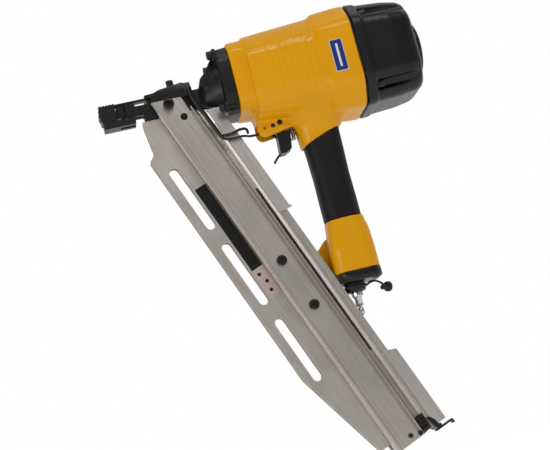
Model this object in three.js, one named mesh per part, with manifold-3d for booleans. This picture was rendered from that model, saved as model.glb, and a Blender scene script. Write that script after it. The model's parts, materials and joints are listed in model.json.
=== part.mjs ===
// Pneumatic framing nailer for 90 mm nails in strips that lean at 21 degrees.
// Millimetres, +Z up. +X runs along the drive axis from the nose to the head cap, and the grip and the
// magazine hang to -Z. Every piece is laid out from the tip of the nose on the drive axis, and the
// finished group is moved so that its origin is the centre of the grip.
import * as THREE from "three";
import { mergeVertices } from "three/addons/utils/BufferGeometryUtils.js";
import Module from "manifold-3d";

const wasm = await Module();
wasm.setup();

// ---------------------------------------------------------------- driving dimensions
const FIT = 0.3; // gap between pieces that touch
const GRIP = { x: 225.5, z: -118 }; // centre of the grip
const MAGAZINE_ANGLE = 69; // degrees between the drive axis and the magazine

const HOUSING = { front: 145, barrel: 163, flange: 243, rear: 278 };
const BORE = { radius: 40, from: 166, neckRadius: 30.5, neckFrom: 151.5 };
const CYLINDER = { inner: 26.2, outer: 29.2, from: 152, to: 287 };
const CAP = { from: 279.8, rib: 291, to: 346, half: 53, height: 57, bore: 44, floor: 331 };
const CAP_BOLT = { radius: 3, head: 5, offset: 39, headFrom: 291, headTo: 299, tip: 261 };
const CAP_GROOVE = { radius: 8, offset: 41 };
const DEFLECTOR = { from: 346.4, to: 355, radius: 30 };
const PISTON = { from: 272, to: 286, radius: 25.9 };
const DRIVER = { radius: 3.6, tip: 114 };
const NOSE = { from: 18, step: 46, to: 112, half: 8.5, top: 6, bottom: -16, bore: 4.4 };
const SIGHT_SLOT = { from: 38, to: 52, floor: 1.4 }; // open across the top of the nose, under the arm
const NOSE_FLANGE = { from: 132, to: 144.7 };
const NOSE_BOLT = { y: 27, top: 33, bottom: -26, radius: 2.6, head: 4.6, headFrom: 127.4 };
const SLEEVE = { front: 205, rear: 246, half: 18.5, wall: 4, bottom: -167, topAt: -75, lean: 20 };
const AIR_PASSAGE = 10; // radius of the passage up the grip
const FOOT = { bottom: -225, capBottom: -236 };
const INLET = { x: 219.5, radius: 11, to: -245.7 };
const TRIGGER_PIN = { x: 176, z: -53, radius: 2.1 };
const SELECTOR_PIN = { x: 184, z: -51, radius: 2.7 };
const SPARE_HOLE = { x: 167, z: -54, radius: 1.7 };
const BLOCK = { inner: 9.3, outer: 14 }; // the trigger sits between the two cheeks of this block
const VALVE = { x: 197, stemTip: -67.6 };
const TRIP = { x: 184, z: -69.2 }; // pivot of the trip lever inside the trigger
const ROD = { y: 16.7, radius: 2.2 }; // safety rod, to the left of the middle plane
const END_SCREWS = [[241, 12], [241, -12]];
const RAIL = { bottom: 468, back: 106, outer: 15 };
const PLATE = { inner: 2.6, outer: 6, front: 15.5, rear: 56.9, bottom: 457 };
const SLOT = { length: 78, width: 10.8, first: 90, pitch: 96.8, across: 30 };
// Fasteners of the magazine, as [place along it, place across it].
const MAGAZINE_BOLTS = [[237, 68], [294, 69]];
const RIVETS = [[461, 72], [464.6, 82]];
const LATCH_KNOB = { u: 32.7, w: 65.6 };
const SOCKET_SCREW = { u: 52.3, w: 72 };
const PUSHER = { from: 366, thumb: 450, to: 466, slotFrom: 158 };

// ---------------------------------------------------------------- solids
const AXES = {
  x: [new THREE.Vector3(0, 1, 0), new THREE.Vector3(0, 0, 1), new THREE.Vector3(1, 0, 0)],
  y: [new THREE.Vector3(1, 0, 0), new THREE.Vector3(0, 0, 1), new THREE.Vector3(0, -1, 0)],
  z: [new THREE.Vector3(1, 0, 0), new THREE.Vector3(0, 1, 0), new THREE.Vector3(0, 0, 1)],
};
const LEAN = new THREE.Matrix4().makeRotationY(THREE.MathUtils.degToRad(MAGAZINE_ANGLE));
const UNLEAN = LEAN.clone().invert();

// A closed geometry as a solid, turned outside out if its profile ran the other way.
function solid(geometry) {
  const bare = geometry.clone();
  bare.deleteAttribute("normal");
  bare.deleteAttribute("uv");
  const merged = mergeVertices(bare, 1e-4);
  const vertProperties = new Float32Array(merged.attributes.position.array);
  const triVerts = new Uint32Array(merged.index.array);
  const made = new wasm.Manifold(new wasm.Mesh({ numProp: 3, vertProperties, triVerts }));
  return made.volume() < 0 ? new wasm.Manifold(new wasm.Mesh({
    numProp: 3,
    vertProperties,
    triVerts: triVerts.map((_, i) => triVerts[i % 3 === 1 ? i + 1 : i % 3 === 2 ? i - 1 : i]),
  })) : made;
}

const join = (first, ...others) => others.reduce((sum, other) => sum.add(other), first);
const cut = (first, ...others) => others.reduce((rest, other) => rest.subtract(other), first);

function boxGeometry([x0, x1], [y0, y1], [z0, z1]) {
  return new THREE.BoxGeometry(x1 - x0, y1 - y0, z1 - z0)
    .translate((x0 + x1) / 2, (y0 + y1) / 2, (z0 + z1) / 2);
}
const box = (...spans) => solid(boxGeometry(...spans));

// A box laid out along the tool, as the leaning magazine sees it.
const toolBox = (...spans) => solid(boxGeometry(...spans).applyMatrix4(UNLEAN));

// A cylinder or cone along an axis. centre gives the other two coordinates, in X, Y, Z order.
function rod(axis, from, to, radius, [a, b] = [0, 0], { end = radius, sides = 16 } = {}) {
  const shape = new THREE.CylinderGeometry(end, radius, to - from, sides).translate(0, (from + to) / 2, 0);
  if (axis === "x") return solid(shape.rotateZ(-Math.PI / 2).translate(0, a, b));
  if (axis === "z") return solid(shape.rotateX(Math.PI / 2).translate(a, b, 0));
  return solid(shape.translate(a, 0, b));
}

// A profile of [distance along the axis, radius] turned about an axis.
function turned(axis, profile, [a, b] = [0, 0], sides = 24) {
  const shape = new THREE.LatheGeometry(profile.map(([at, r]) => new THREE.Vector2(r, at)), sides);
  if (axis === "x") return solid(shape.rotateZ(-Math.PI / 2).translate(0, a, b));
  return solid(shape.rotateX(Math.PI / 2).translate(a, b, 0));
}

// An outline with its corners rounded.
function rounded(points, radius = 0) {
  const shape = new THREE.Shape();
  const at = (i) => new THREE.Vector2(...points[(i + points.length) % points.length]);
  points.forEach((_, i) => {
    const [before, here, after] = [at(i - 1), at(i), at(i + 1)];
    const reach = Math.min(radius, here.distanceTo(before) / 2.1, here.distanceTo(after) / 2.1);
    const into = here.clone().lerp(before, reach / here.distanceTo(before));
    const out = here.clone().lerp(after, reach / here.distanceTo(after));
    if (i === 0) shape.moveTo(into.x, into.y);
    else shape.lineTo(into.x, into.y);
    if (reach > 0) shape.quadraticCurveTo(here.x, here.y, out.x, out.y);
  });
  shape.closePath();
  return shape;
}

// A section pushed along an axis. The section's coordinates are the other two, in X, Y, Z order.
function prism(axis, shape, from, to, curveSegments = 3) {
  const made = new THREE.ExtrudeGeometry(shape, { depth: to - from, bevelEnabled: false, curveSegments });
  made.applyMatrix4(new THREE.Matrix4().makeBasis(...AXES[axis]));
  const shift = axis === "y" ? to : from;
  return solid(made.translate(...["x", "y", "z"].map((name) => (name === axis ? shift : 0))));
}

// A body whose section changes along X or Z. Each station has its place along the axis, its half width in
// Y, its lowest and highest place in the third direction, and the power of its rounded square.
function loft(axis, stations, sides = 28) {
  const shape = new THREE.CylinderGeometry(1, 1, stations.length - 1, sides, stations.length - 1);
  const place = shape.attributes.position;
  for (let i = 0; i < place.count; i++) {
    const index = Math.round(place.getY(i) + (stations.length - 1) / 2);
    const { at, half, low, high, power = 2 } = stations[index];
    const [c, s] = [place.getX(i), place.getZ(i)];
    const size = Math.hypot(c, s) < 1e-6 ? 0 : (Math.abs(c) ** power + Math.abs(s) ** power) ** (-1 / power);
    const across = half * size * c;
    const third = (high + low) / 2 + ((high - low) / 2) * size * s;
    if (axis === "x") place.setXYZ(i, at, across, third);
    else place.setXYZ(i, third, across, at);
  }
  return solid(shape);
}

// A round bar bent along points.
function bar(points, radius, sides = 8, steps = 30) {
  const path = new THREE.CatmullRomCurve3(points.map((p) => new THREE.Vector3(...p)), false, "centripetal");
  const section = new THREE.Shape(
    Array.from({ length: sides }, (_, i) => new THREE.Vector2(
      radius * Math.cos((2 * Math.PI * i) / sides), radius * Math.sin((2 * Math.PI * i) / sides))),
  );
  return solid(new THREE.ExtrudeGeometry(section, { extrudePath: path, steps, curveSegments: 1 }));
}

// A coil spring along an axis, made of a bar that winds round it.
function coil(axis, from, to, radius, wire, turns, [a, b] = [0, 0], stepsPerTurn = 8) {
  const count = turns * stepsPerTurn;
  const points = Array.from({ length: count + 1 }, (_, i) => {
    const angle = (2 * Math.PI * i) / stepsPerTurn;
    const along = from + wire + ((to - from - 2 * wire) * i) / count;
    const [c, s] = [radius * Math.cos(angle), radius * Math.sin(angle)];
    return axis === "x" ? [along, a + c, b + s] : [a + c, b + s, along];
  });
  return bar(points, wire, 5, count);
}

// ---------------------------------------------------------------- finishes
const finish = (name, color, roughness, metalness) =>
  new THREE.MeshStandardMaterial({ name, color, roughness, metalness });
const FINISH = {
  yellowPaint: () => finish("yellow paint", 0xd79200, 0.3, 0),
  blackCasting: () => finish("black casting", 0x1d1c1c, 0.45, 0.2),
  blackPlastic: () => finish("black plastic", 0x1c1a1a, 0.5, 0),
  rubber: () => finish("rubber", 0x191919, 0.8, 0),
  blackSteel: () => finish("black steel", 0x202020, 0.4, 0.6),
  steel: () => finish("steel", 0xb8b5b0, 0.3, 1),
  chrome: () => finish("chrome", 0xd8d8d8, 0.12, 1),
  aluminium: () => finish("aluminium", 0xbcb4ac, 0.4, 1),
};

const tool = new THREE.Group();
const magazine = new THREE.Group();
magazine.rotation.y = THREE.MathUtils.degToRad(MAGAZINE_ANGLE);
tool.add(magazine);
tool.position.set(-GRIP.x, 0, -GRIP.z);

function piece(name, body, material, parent = tool) {
  const { vertProperties, triVerts, numProp } = body.getMesh();
  const places = new Float32Array((vertProperties.length / numProp) * 3);
  for (let i = 0; i < places.length / 3; i++) {
    places.set(vertProperties.subarray(i * numProp, i * numProp + 3), i * 3);
  }
  const geometry = new THREE.BufferGeometry();
  geometry.setAttribute("position", new THREE.BufferAttribute(places, 3));
  geometry.setIndex(new THREE.BufferAttribute(triVerts, 1));
  geometry.computeVertexNormals();
  const mesh = new THREE.Mesh(geometry, material);
  mesh.name = name;
  parent.add(mesh);
}

// ---------------------------------------------------------------- shapes that several pieces share
const CORNERS = [[1, 1], [-1, 1], [-1, -1], [1, -1]];

// The outer form of the grip, from the trigger down to the foot.
function gripForm(inset = 0) {
  const middle = (SLEEVE.front + SLEEVE.rear) / 2;
  const reach = (SLEEVE.rear - SLEEVE.front) / 2 - inset;
  return loft("z", [-170, -150, -118, -90, -40].map((at, i) => ({
    at,
    half: SLEEVE.half - inset + [0, 0, -0.6, -0.4, 1][i],
    low: middle - reach + [0, 0.6, 1, 0, -3][i],
    high: middle + reach + [0, -0.6, -1, 0, 1][i],
    power: 2.4,
  })), 22);
}

// Everything above the slanted seam where the grip sleeve meets the paint.
function aboveSeam(gap = 0) {
  const slab = boxGeometry([-80, 80], [-80, 80], [gap, 160])
    .rotateY(-THREE.MathUtils.degToRad(SLEEVE.lean))
    .translate(GRIP.x, 0, SLEEVE.topAt);
  return solid(slab);
}

// ---------------------------------------------------------------- housing, head cap and drive parts
function housing() {
  const barrel = loft("x", [
    { at: HOUSING.front, half: 37, low: -32, high: 41, power: 3 },
    { at: 160, half: 38, low: -34, high: 42, power: 3 },
    { at: HOUSING.barrel, half: 45, low: -45, high: 48, power: 2.7 },
    { at: 200, half: 46.5, low: -49, high: 51, power: 2.7 },
    { at: 236, half: 48, low: -52, high: 53.5, power: 2.8 },
    { at: HOUSING.flange, half: 51, low: -55, high: 55.6, power: 3 },
    { at: 268, half: CAP.half - 0.3, low: 0.4 - CAP.height, high: CAP.height - 0.2, power: 3.1 },
    { at: HOUSING.rear, half: CAP.half, low: -CAP.height, high: CAP.height, power: 3.1 },
  ]);
  const cheeks = rounded([[156.5, -30], [160, -43], [159, -57], [163.5, -63], [181, -61], [192, -58.5],
    [200, -58], [214, -60], [222, -30]], 3);
  const block = prism("y", cheeks, -BLOCK.outer, BLOCK.outer);
  const fairing = loft("z", [
    { at: -84, half: 19.5, low: 202, high: 246, power: 2.4 },
    { at: -70, half: 20, low: 201, high: 248, power: 2.4 },
    { at: -62, half: 21.5, low: 200, high: 252, power: 2.4 },
    { at: -52, half: 26, low: 196, high: 262, power: 2.4 },
    { at: -36, half: 34, low: 190, high: 272, power: 2.4 },
  ], 24).intersect(aboveSeam(FIT));
  const core = gripForm(SLEEVE.wall + FIT);
  const foot = loft("z", [
    { at: FOOT.bottom, half: 21, low: 201, high: 250, power: 3 },
    { at: -200, half: 20.5, low: 201.5, high: 250, power: 2.8 },
    { at: -180, half: 19.5, low: 204.5, high: 249, power: 2.6 },
    { at: SLEEVE.bottom - FIT, half: SLEEVE.half, low: 205.5, high: 246.5, power: 2.4 },
  ], 24);
  const lug = prism("y", rounded([[222, -176], [204, -181], [193, -192], [163, -180], [138, -186],
    [134, -202], [158, -262], [172, -266], [186, -246], [199.5, -227.5], [201, -224.9], [222, -224.9]], 3),
  RAIL.outer + FIT, 20.5);
  const shell = join(barrel, block, fairing, core, foot, lug);
  const seats = CORNERS.map(([y, z]) => rod("x", CAP_BOLT.tip - 2, HOUSING.rear + 1, CAP_BOLT.radius + FIT,
    [y * CAP_BOLT.offset, z * CAP_BOLT.offset], { sides: 12 }));
  const threads = CORNERS.map(([y, z]) => rod("x", HOUSING.front - 1, 158, NOSE_BOLT.radius + FIT,
    [y * NOSE_BOLT.y, z > 0 ? NOSE_BOLT.top : NOSE_BOLT.bottom], { sides: 10 }));
  const arch = join(
    rod("y", -30, 30, 5.2, [196.4, -66], { sides: 20 }),
    box([191.2, 201.6], [-30, 30], [-76, -66]),
  );
  return cut(
    shell,
    rod("x", BORE.from, HOUSING.rear + 1, BORE.radius, [0, 0], { sides: 28 }),
    rod("x", BORE.neckFrom, BORE.from + 1, BORE.neckRadius, [0, 0], { sides: 24 }),
    rod("x", HOUSING.front - 1, BORE.neckFrom + 1, 9),
    rod("z", FOOT.bottom - 1, -30, AIR_PASSAGE, [GRIP.x, 0], { sides: 16 }),
    box([150, 192], [-BLOCK.inner, BLOCK.inner], [-72, -47]),
    box([190, 198], [-BLOCK.inner, BLOCK.inner], [-72, -54]),
    arch,
    rod("z", -70, -44, 6.4, [VALVE.x, 0], { sides: 16 }),
    rod("z", -46, -36, 3.4, [VALVE.x, 0], { sides: 12 }),
    ...[TRIGGER_PIN, SELECTOR_PIN].map(({ x, z, radius }) =>
      rod("y", -20, 20, radius + FIT, [x, z], { sides: 12 })),
    rod("y", -20, 20, SPARE_HOLE.radius, [SPARE_HOLE.x, SPARE_HOLE.z], { sides: 12 }),
    ...seats,
    ...threads,
    ...MAGAZINE_BOLTS.map(([u, w]) => solid(new THREE.CylinderGeometry(3.3, 3.3, 20, 12)
      .translate(u, 17, w).applyMatrix4(LEAN))),
    ...END_SCREWS.map((centre) => rod("z", FOOT.bottom - 1, -212, 2.3, centre, { sides: 10 })),
  );
}

const capSection = (at, inset, power = 3.1) =>
  ({ at, half: CAP.half - inset, low: inset - CAP.height, high: CAP.height - inset, power });

function headCap() {
  const form = loft("x", [
    capSection(CAP.from, 0),
    capSection(CAP.rib, 0.6),
    capSection(CAP.rib + 1.5, 2.2, 3),
    capSection(320, 4, 3),
    capSection(CAP.floor, 5.2, 2.9),
    capSection(339, 8, 2.8),
    capSection(344, 11, 2.7),
    capSection(CAP.to, 14, 2.6),
  ]);
  const grooves = CORNERS.flatMap(([y, z]) => {
    const centre = [y * CAP_BOLT.offset, z * CAP_BOLT.offset];
    return [
      rod("x", CAP_BOLT.headFrom, CAP.to + 2, CAP_GROOVE.radius,
        [y * CAP_GROOVE.offset, z * CAP_GROOVE.offset], { sides: 16 }),
      rod("x", CAP.from - 1, CAP_BOLT.headFrom + 1, CAP_BOLT.radius + FIT, centre, { sides: 12 }),
    ];
  });
  const ports = CORNERS.map(([y, z]) =>
    rod("x", CAP.floor - 1, CAP.to + 1, 4, [y * 16, z * 10], { sides: 10 }));
  return cut(
    form,
    rod("x", CAP.from - 1, CAP.floor, CAP.bore, [0, 0], { sides: 28 }),
    rod("x", CAP.floor - 1, CAP.to + 1, 3.4, [0, 0], { sides: 12 }),
    ...grooves,
    ...ports,
  );
}

function capGasket() {
  const sheet = loft("x", [capSection(HOUSING.rear + FIT, 0.5), capSection(CAP.from - FIT, 0.5)]);
  return cut(
    sheet,
    rod("x", HOUSING.rear, CAP.from, BORE.radius + 1, [0, 0], { sides: 24 }),
    ...CORNERS.map(([y, z]) => rod("x", HOUSING.rear, CAP.from, CAP_BOLT.radius + FIT,
      [y * CAP_BOLT.offset, z * CAP_BOLT.offset], { sides: 12 })),
  );
}

// A socket cap screw that points along an axis, with its head at the far end.
function socketScrew(axis, tip, headFrom, headTo, radius, headRadius, centre, sides = 12) {
  const way = Math.sign(headTo - headFrom);
  const span = (a, b, r, n) => rod(axis, Math.min(a, b), Math.max(a, b), r, centre, { sides: n });
  const shank = span(tip, headFrom + way, radius, 10);
  const head = span(headFrom, headTo, headRadius, sides);
  return cut(join(shank, head), span(headTo - way * headRadius * 0.7, headTo + way, headRadius * 0.5, 6));
}

piece("housing", housing(), FINISH.yellowPaint());
piece("head_cap", headCap(), FINISH.blackPlastic());
piece("cap_gasket", capGasket(), FINISH.rubber());
CORNERS.forEach(([y, z], i) => {
  piece(`cap_bolt_${i + 1}`, socketScrew("x", CAP_BOLT.tip, CAP_BOLT.headFrom + FIT, CAP_BOLT.headTo,
    CAP_BOLT.radius, CAP_BOLT.head, [y * CAP_BOLT.offset, z * CAP_BOLT.offset]), FINISH.blackSteel());
});
piece("exhaust_deflector", cut(
  turned("x", [[DEFLECTOR.from, 0], [DEFLECTOR.from, DEFLECTOR.radius - 1],
    [DEFLECTOR.from + 1, DEFLECTOR.radius], [352, DEFLECTOR.radius], [354.3, DEFLECTOR.radius - 3.5],
    [DEFLECTOR.to, 16], [DEFLECTOR.to, 0]]),
  rod("x", DEFLECTOR.from - 1, DEFLECTOR.to + 1, 3.2, [0, 0], { sides: 12 }),
  rod("x", 350.5, DEFLECTOR.to + 1, 6.2, [0, 0], { sides: 16 }),
  box([DEFLECTOR.from - 1, 350.5], [-22, 22], [-34, -8]),
), FINISH.blackPlastic());
piece("deflector_screw", socketScrew("x", 336, 350.8, DEFLECTOR.to - 0.6, 2.8, 5.6, [0, 0]),
  FINISH.blackSteel());
piece("cylinder", cut(
  rod("x", CYLINDER.from, CYLINDER.to, CYLINDER.outer, [0, 0], { sides: 24 }),
  rod("x", CYLINDER.from - 1, CYLINDER.to + 1, CYLINDER.inner, [0, 0], { sides: 24 }),
), FINISH.aluminium());
piece("head_valve", turned("x", [[287.6, 20], [287.6, 38], [296, 43.4], [304, 43.4], [304, 36], [293, 33],
  [293, 20], [287.6, 20]]), FINISH.blackPlastic());
piece("head_valve_spring", coil("x", 304.6, CAP.floor - FIT, 39.4, 1.4, 3), FINISH.steel());
piece("bumper", turned("x", [[152.4, 5], [152.4, 23], [156, 25.7], [162, 24.6], [164.4, 20], [164.4, 5],
  [152.4, 5]], [0, 0], 20), FINISH.rubber());
piece("piston", turned("x", [[PISTON.from, 0], [PISTON.from, 25.2], [276, PISTON.radius], [276.6, 23.2],
  [280.8, 23.2], [281.4, PISTON.radius], [PISTON.to, 25.2], [PISTON.to, 0]], [0, 0], 20), FINISH.aluminium());
piece("piston_ring", turned("x", [[277, 23.6], [277, 25.4], [278.7, 26], [280.4, 25.4], [280.4, 23.6],
  [277, 23.6]], [0, 0], 20), FINISH.rubber());
piece("driver_blade", join(
  rod("x", DRIVER.tip, PISTON.from - FIT, DRIVER.radius, [0, 0], { sides: 14 }),
  rod("x", 262, PISTON.from - FIT, 4.4, [0, 0], { sides: 14 }),
), FINISH.steel());

// ---------------------------------------------------------------- nose
const noseBoltPlace = ([y, z]) => [y * NOSE_BOLT.y, z > 0 ? NOSE_BOLT.top : NOSE_BOLT.bottom];

function noseCasting() {
  const body = box([NOSE.step, NOSE.to + 4], [-NOSE.half, NOSE.half], [NOSE.bottom, NOSE.top]);
  const front = box([NOSE.from + 9, NOSE.step + 1], [-NOSE.half, NOSE.half], [-9.8, 4.9]);
  const spigot = box([NOSE.from, NOSE.from + 10], [-6, 6], [-7, 4.9]);
  const hub = loft("x", [
    { at: 108, half: NOSE.half, low: NOSE.bottom, high: NOSE.top, power: 4 },
    { at: 115, half: 14.5, low: -17.5, high: 15.5, power: 2.8 },
    { at: 127, half: 23, low: -21, high: 24, power: 2.4 },
    { at: 134, half: 27, low: -25, high: 29, power: 2.4 },
  ], 28);
  const flange = loft("x", [
    { at: NOSE_FLANGE.from, half: 35, low: -33.5, high: 41, power: 4 },
    { at: NOSE_FLANGE.to, half: 36, low: -34, high: 42, power: 4 },
  ], 28);
  const bosses = CORNERS.map((corner) =>
    rod("x", 129, NOSE_FLANGE.from + 1, 6.6, noseBoltPlace(corner), { sides: 14 }));
  const webs = [-1, 1].map((side) => prism("y", rounded([[108.6, 5], [112, 14], [119, 20], [128, 33],
    [134, 40], [134, 0]], 2), side * 14 - 1.8, side * 14 + 1.8));
  const boltHoles = CORNERS.map((corner) =>
    rod("x", 120, 146, NOSE_BOLT.radius + FIT, noseBoltPlace(corner), { sides: 10 }));
  return cut(
    join(body, front, spigot, hub, flange, ...bosses, ...webs),
    rod("x", NOSE.from - 1, 146, NOSE.bore, [0, 0], { sides: 16 }),
    box([NOSE.from + 4, NOSE.to], [-PLATE.inner, PLATE.inner], [NOSE.bottom - 1, 0]),
    box([104, 116], [-5.2, 5.2], [NOSE.bottom - 8, 0]),
    box([SIGHT_SLOT.from, SIGHT_SLOT.to], [-NOSE.half - 1, NOSE.half + 1], [SIGHT_SLOT.floor, NOSE.top + 1]),
    solid(new THREE.CylinderGeometry(3.1, 3.1, 6, 12).translate(LATCH_KNOB.u, -7, LATCH_KNOB.w)
      .applyMatrix4(LEAN)),
    ...boltHoles,
  );
}

function contactTip() {
  const collar = cut(
    box([0, 17], [-11.5, 11.5], [-9.6, 8]),
    ...[3.4, 6.8, 10.2, 13.6].map((x) => cut(
      box([x, x + 1.2], [-12, 12], [-10, 8.5]),
      box([x - 1, x + 2], [-10.8, 10.8], [-8.9, 7.3]),
    )),
  );
  const teeth = [-1, 1].map((side) => prism("y", rounded([[-1, -4], [1, -6], [1, 4], [-1, 3]], 0.5),
    side * 8 - 3, side * 8 + 3));
  const skid = box([1.5, 36], [-9.5, 9.5], [-17.6, -10.2]);
  return cut(
    join(collar, ...teeth, skid, box([1.5, 17], [-9.5, 9.5], [-11, -8])),
    rod("x", -3, 19, 5, [0, 0], { sides: 16 }),
    box([7, 18], [-6.6, 6.6], [-7.6, 5.6]),
    box([19, 40], [-PLATE.inner - FIT, PLATE.inner + FIT], [-20, -5]),
  );
}

// The arm over the nose: a strip from the tip, and the bracket that carries the clamp and the rod.
function contactArm() {
  const strip = box([17.3, 56], [-5, 5], [NOSE.top + FIT, 8.6]);
  const bracket = prism("y", rounded([[50, NOSE.top + FIT], [50, 9.6], [61, 10.4], [66, 12.4], [92, 15.6],
    [94, 14.2], [100.4, 14.2], [101, NOSE.top + FIT]], 0.8), -11.6, 11.6);
  const ears = [-1, 1].map((side) =>
    box([56, 101], side < 0 ? [-11.6, -NOSE.half - FIT] : [NOSE.half + FIT, 11.6], [-0.6, NOSE.top + 2]));
  const boss = box([92, 101], [-ROD.y + ROD.radius + FIT, -11], [-0.6, 9]);
  return cut(
    join(strip, bracket, ...ears, boss),
    box([64, 74], [-4, 4], [11, 20]),
    rod("z", 5, 20, 2.9, [81, 0], { sides: 12 }),
  );
}

// The safety rod: from the arm, down beside the magazine, and along to the trigger block.
function safetyRod() {
  const y = -ROD.y;
  const run = bar([[97, y, 6], [98.6, y, -4], [118.6, y, -52], [123.5, y, -57.4], [130, y, -57.8],
    [139.5, y, -57.7], [144.5, -13.2, -57.5], [149.5, -7, -57.2], [154, -5, -57], [162.5, -5, -57]],
  ROD.radius, 8, 26);
  const hook = bar([[119.5, y, -54.2], [131, y, -52.8], [141, y, -50.4], [147, y + 2, -51],
    [148.4, y + 5.2, -55]], 1.8, 6, 10);
  return join(run, hook);
}

piece("nose_casting", noseCasting(), FINISH.blackCasting());
CORNERS.forEach((corner, i) => {
  piece(`nose_bolt_${i + 1}`, socketScrew("x", 156, 128.7, NOSE_BOLT.headFrom - 4, NOSE_BOLT.radius,
    NOSE_BOLT.head, noseBoltPlace(corner)), FINISH.blackSteel());
});
piece("contact_tip", contactTip(), FINISH.blackSteel());
piece("contact_arm", contactArm(), FINISH.blackSteel());
piece("clamp_screw", socketScrew("z", 9, 15.6, 23, 2.5, 4, [81, 0], 14), FINISH.blackSteel());
piece("safety_rod", safetyRod(), FINISH.blackSteel());

// ---------------------------------------------------------------- trigger and its valve
function trigger() {
  const pad = cut(
    prism("y", rounded([[179, -60.4], [194, -60.4], [191, -80], [184, -83.6], [177.5, -83.6],
      [178.4, -72]], 1.5), -8, 8),
    box([181.2, 200], [-4.3, 4.3], [-81, -55]),
  );
  const ears = [[-8, -4.6], [4.6, 8]].map(([y0, y1]) =>
    prism("y", rounded([[171.8, -56], [173.5, -48.8], [178.5, -48.8], [181, -56], [187, -62], [179, -63]], 1),
      y0, y1));
  const spur = bar([[180.5, 0, -81.6], [177, 0, -83.4], [172.6, 0, -87.4], [169.4, 0, -91]], 1.3, 8, 8);
  return cut(
    join(pad, ...ears, spur),
    rod("y", -20, 20, TRIGGER_PIN.radius + FIT, [TRIGGER_PIN.x, TRIGGER_PIN.z], { sides: 12 }),
  );
}

const crossPin = ({ x, z, radius }, reach = BLOCK.outer + 0.6) =>
  rod("y", -reach, reach, radius, [x, z], { sides: 16 });

piece("trigger", trigger(), FINISH.blackPlastic());
piece("trigger_pin", crossPin(TRIGGER_PIN), FINISH.blackSteel());
piece("selector_pin", crossPin(SELECTOR_PIN), FINISH.blackSteel());
piece("trip_lever", join(
  box([181.8, 198.8], [-3, 3], [-70, VALVE.stemTip - FIT - 0.1]),
  rod("y", -3.6, 3.6, 1.7, [TRIP.x, TRIP.z], { sides: 12 }),
), FINISH.steel());
piece("valve_bushing", cut(
  turned("z", [[-56.4, 2.4], [-56.4, 5.4], [-55.6, 6.1], [-44.3, 6.1], [-44.3, 2.4], [-56.4, 2.4]],
    [VALVE.x, 0], 20),
  rod("z", -60, -49.5, 4.4, [VALVE.x, 0], { sides: 16 }),
), FINISH.steel());
piece("valve_stem", turned("z", [[VALVE.stemTip, 0], [VALVE.stemTip, 1.5], [-66.8, 2], [-61.6, 2],
  [-61.6, 3.6], [-60.4, 3.6], [-60.4, 2], [-41, 2], [-41, 0]], [VALVE.x, 0], 16), FINISH.steel());
piece("valve_spring", coil("z", -60, -49.8, 3.2, 0.45, 4, [VALVE.x, 0]), FINISH.steel());

// ---------------------------------------------------------------- grip, end cap and air inlet
function gripSleeve() {
  return cut(
    gripForm().intersect(box([180, 270], [-40, 40], [SLEEVE.bottom, -40])),
    aboveSeam(),
    gripForm(SLEEVE.wall),
  );
}

function endCap() {
  const form = loft("z", [
    { at: FOOT.capBottom, half: 19, low: 207.5, high: 248, power: 2.8 },
    { at: FOOT.capBottom + 2, half: 21, low: 205, high: 250, power: 3 },
    { at: FOOT.bottom - FIT, half: 21, low: 201, high: 250, power: 3 },
  ], 24);
  return cut(
    form,
    rod("z", FOOT.capBottom - 1, FOOT.bottom + 1, 7, [INLET.x, 0], { sides: 16 }),
    ...END_SCREWS.map((centre) => join(
      rod("z", FOOT.capBottom - 1, FOOT.bottom + 1, 2.3, centre, { sides: 10 }),
      rod("z", FOOT.capBottom - 1, -231, 4.4, centre, { sides: 12 }),
    )),
  );
}

// The moulded dust plug: a ring round the inlet, a strap, and the plug itself hanging beside it.
function dustPlug() {
  const ring = cut(
    rod("z", -241.8, -239.4, 13.6, [INLET.x, 0], { sides: 20 }),
    rod("z", -243, -238, INLET.radius + FIT, [INLET.x, 0], { sides: 20 }),
  );
  const strap = bar([[232.2, -2, -240.6], [236, -3.2, -239.2], [241, -3.6, -238.8], [245.6, -2.6, -241],
    [250, -1, -244.6]], 1.2, 8, 12);
  const plug = solid(new THREE.LatheGeometry([[0, -8], [2.3, -8], [2.8, -7.4], [2.8, -0.6], [5.4, 0],
    [5.6, 3.4], [4.6, 4.2], [0, 4.2]].map(([r, at]) => new THREE.Vector2(r, at)), 14)
    .rotateZ(THREE.MathUtils.degToRad(-53)).translate(252.6, 0, -247.4));
  return join(ring, strap, plug);
}

piece("grip_sleeve", gripSleeve(), FINISH.rubber());
piece("end_cap", endCap(), FINISH.blackPlastic());
END_SCREWS.forEach((centre, i) => {
  piece(`end_cap_screw_${i + 1}`, socketScrew("z", -214, -231 - FIT, -235, 2, 3.8, centre, 12),
    FINISH.blackSteel());
});
piece("inlet_bushing", turned("z", [[INLET.to, 7], [INLET.to, 10], [-244.6, INLET.radius],
  [-237.5, INLET.radius], [-236.3, 12.5], [-236.3, 7], [INLET.to, 7]], [INLET.x, 0], 24),
FINISH.blackPlastic());
piece("dust_plug", dustPlug(), FINISH.rubber());
piece("air_plug", cut(
  join(
    rod("z", -251, -246, 6.6, [INLET.x, 0], { sides: 6 }),
    turned("z", [[-270, 0], [-270, 2.9], [-269.2, 3.4], [-264.6, 3.4], [-263.4, 2.4], [-261.6, 2.4],
      [-260.6, 4], [-252.6, 4], [-251.6, 5], [-246.6, 6.6], [-246, 6.6], [-246, 5.6], [-227, 5.6],
      [-227, 0]], [INLET.x, 0], 20),
  ),
  rod("z", -271, -226, 1.8, [INLET.x, 0], { sides: 12 }),
), FINISH.chrome());

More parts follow.
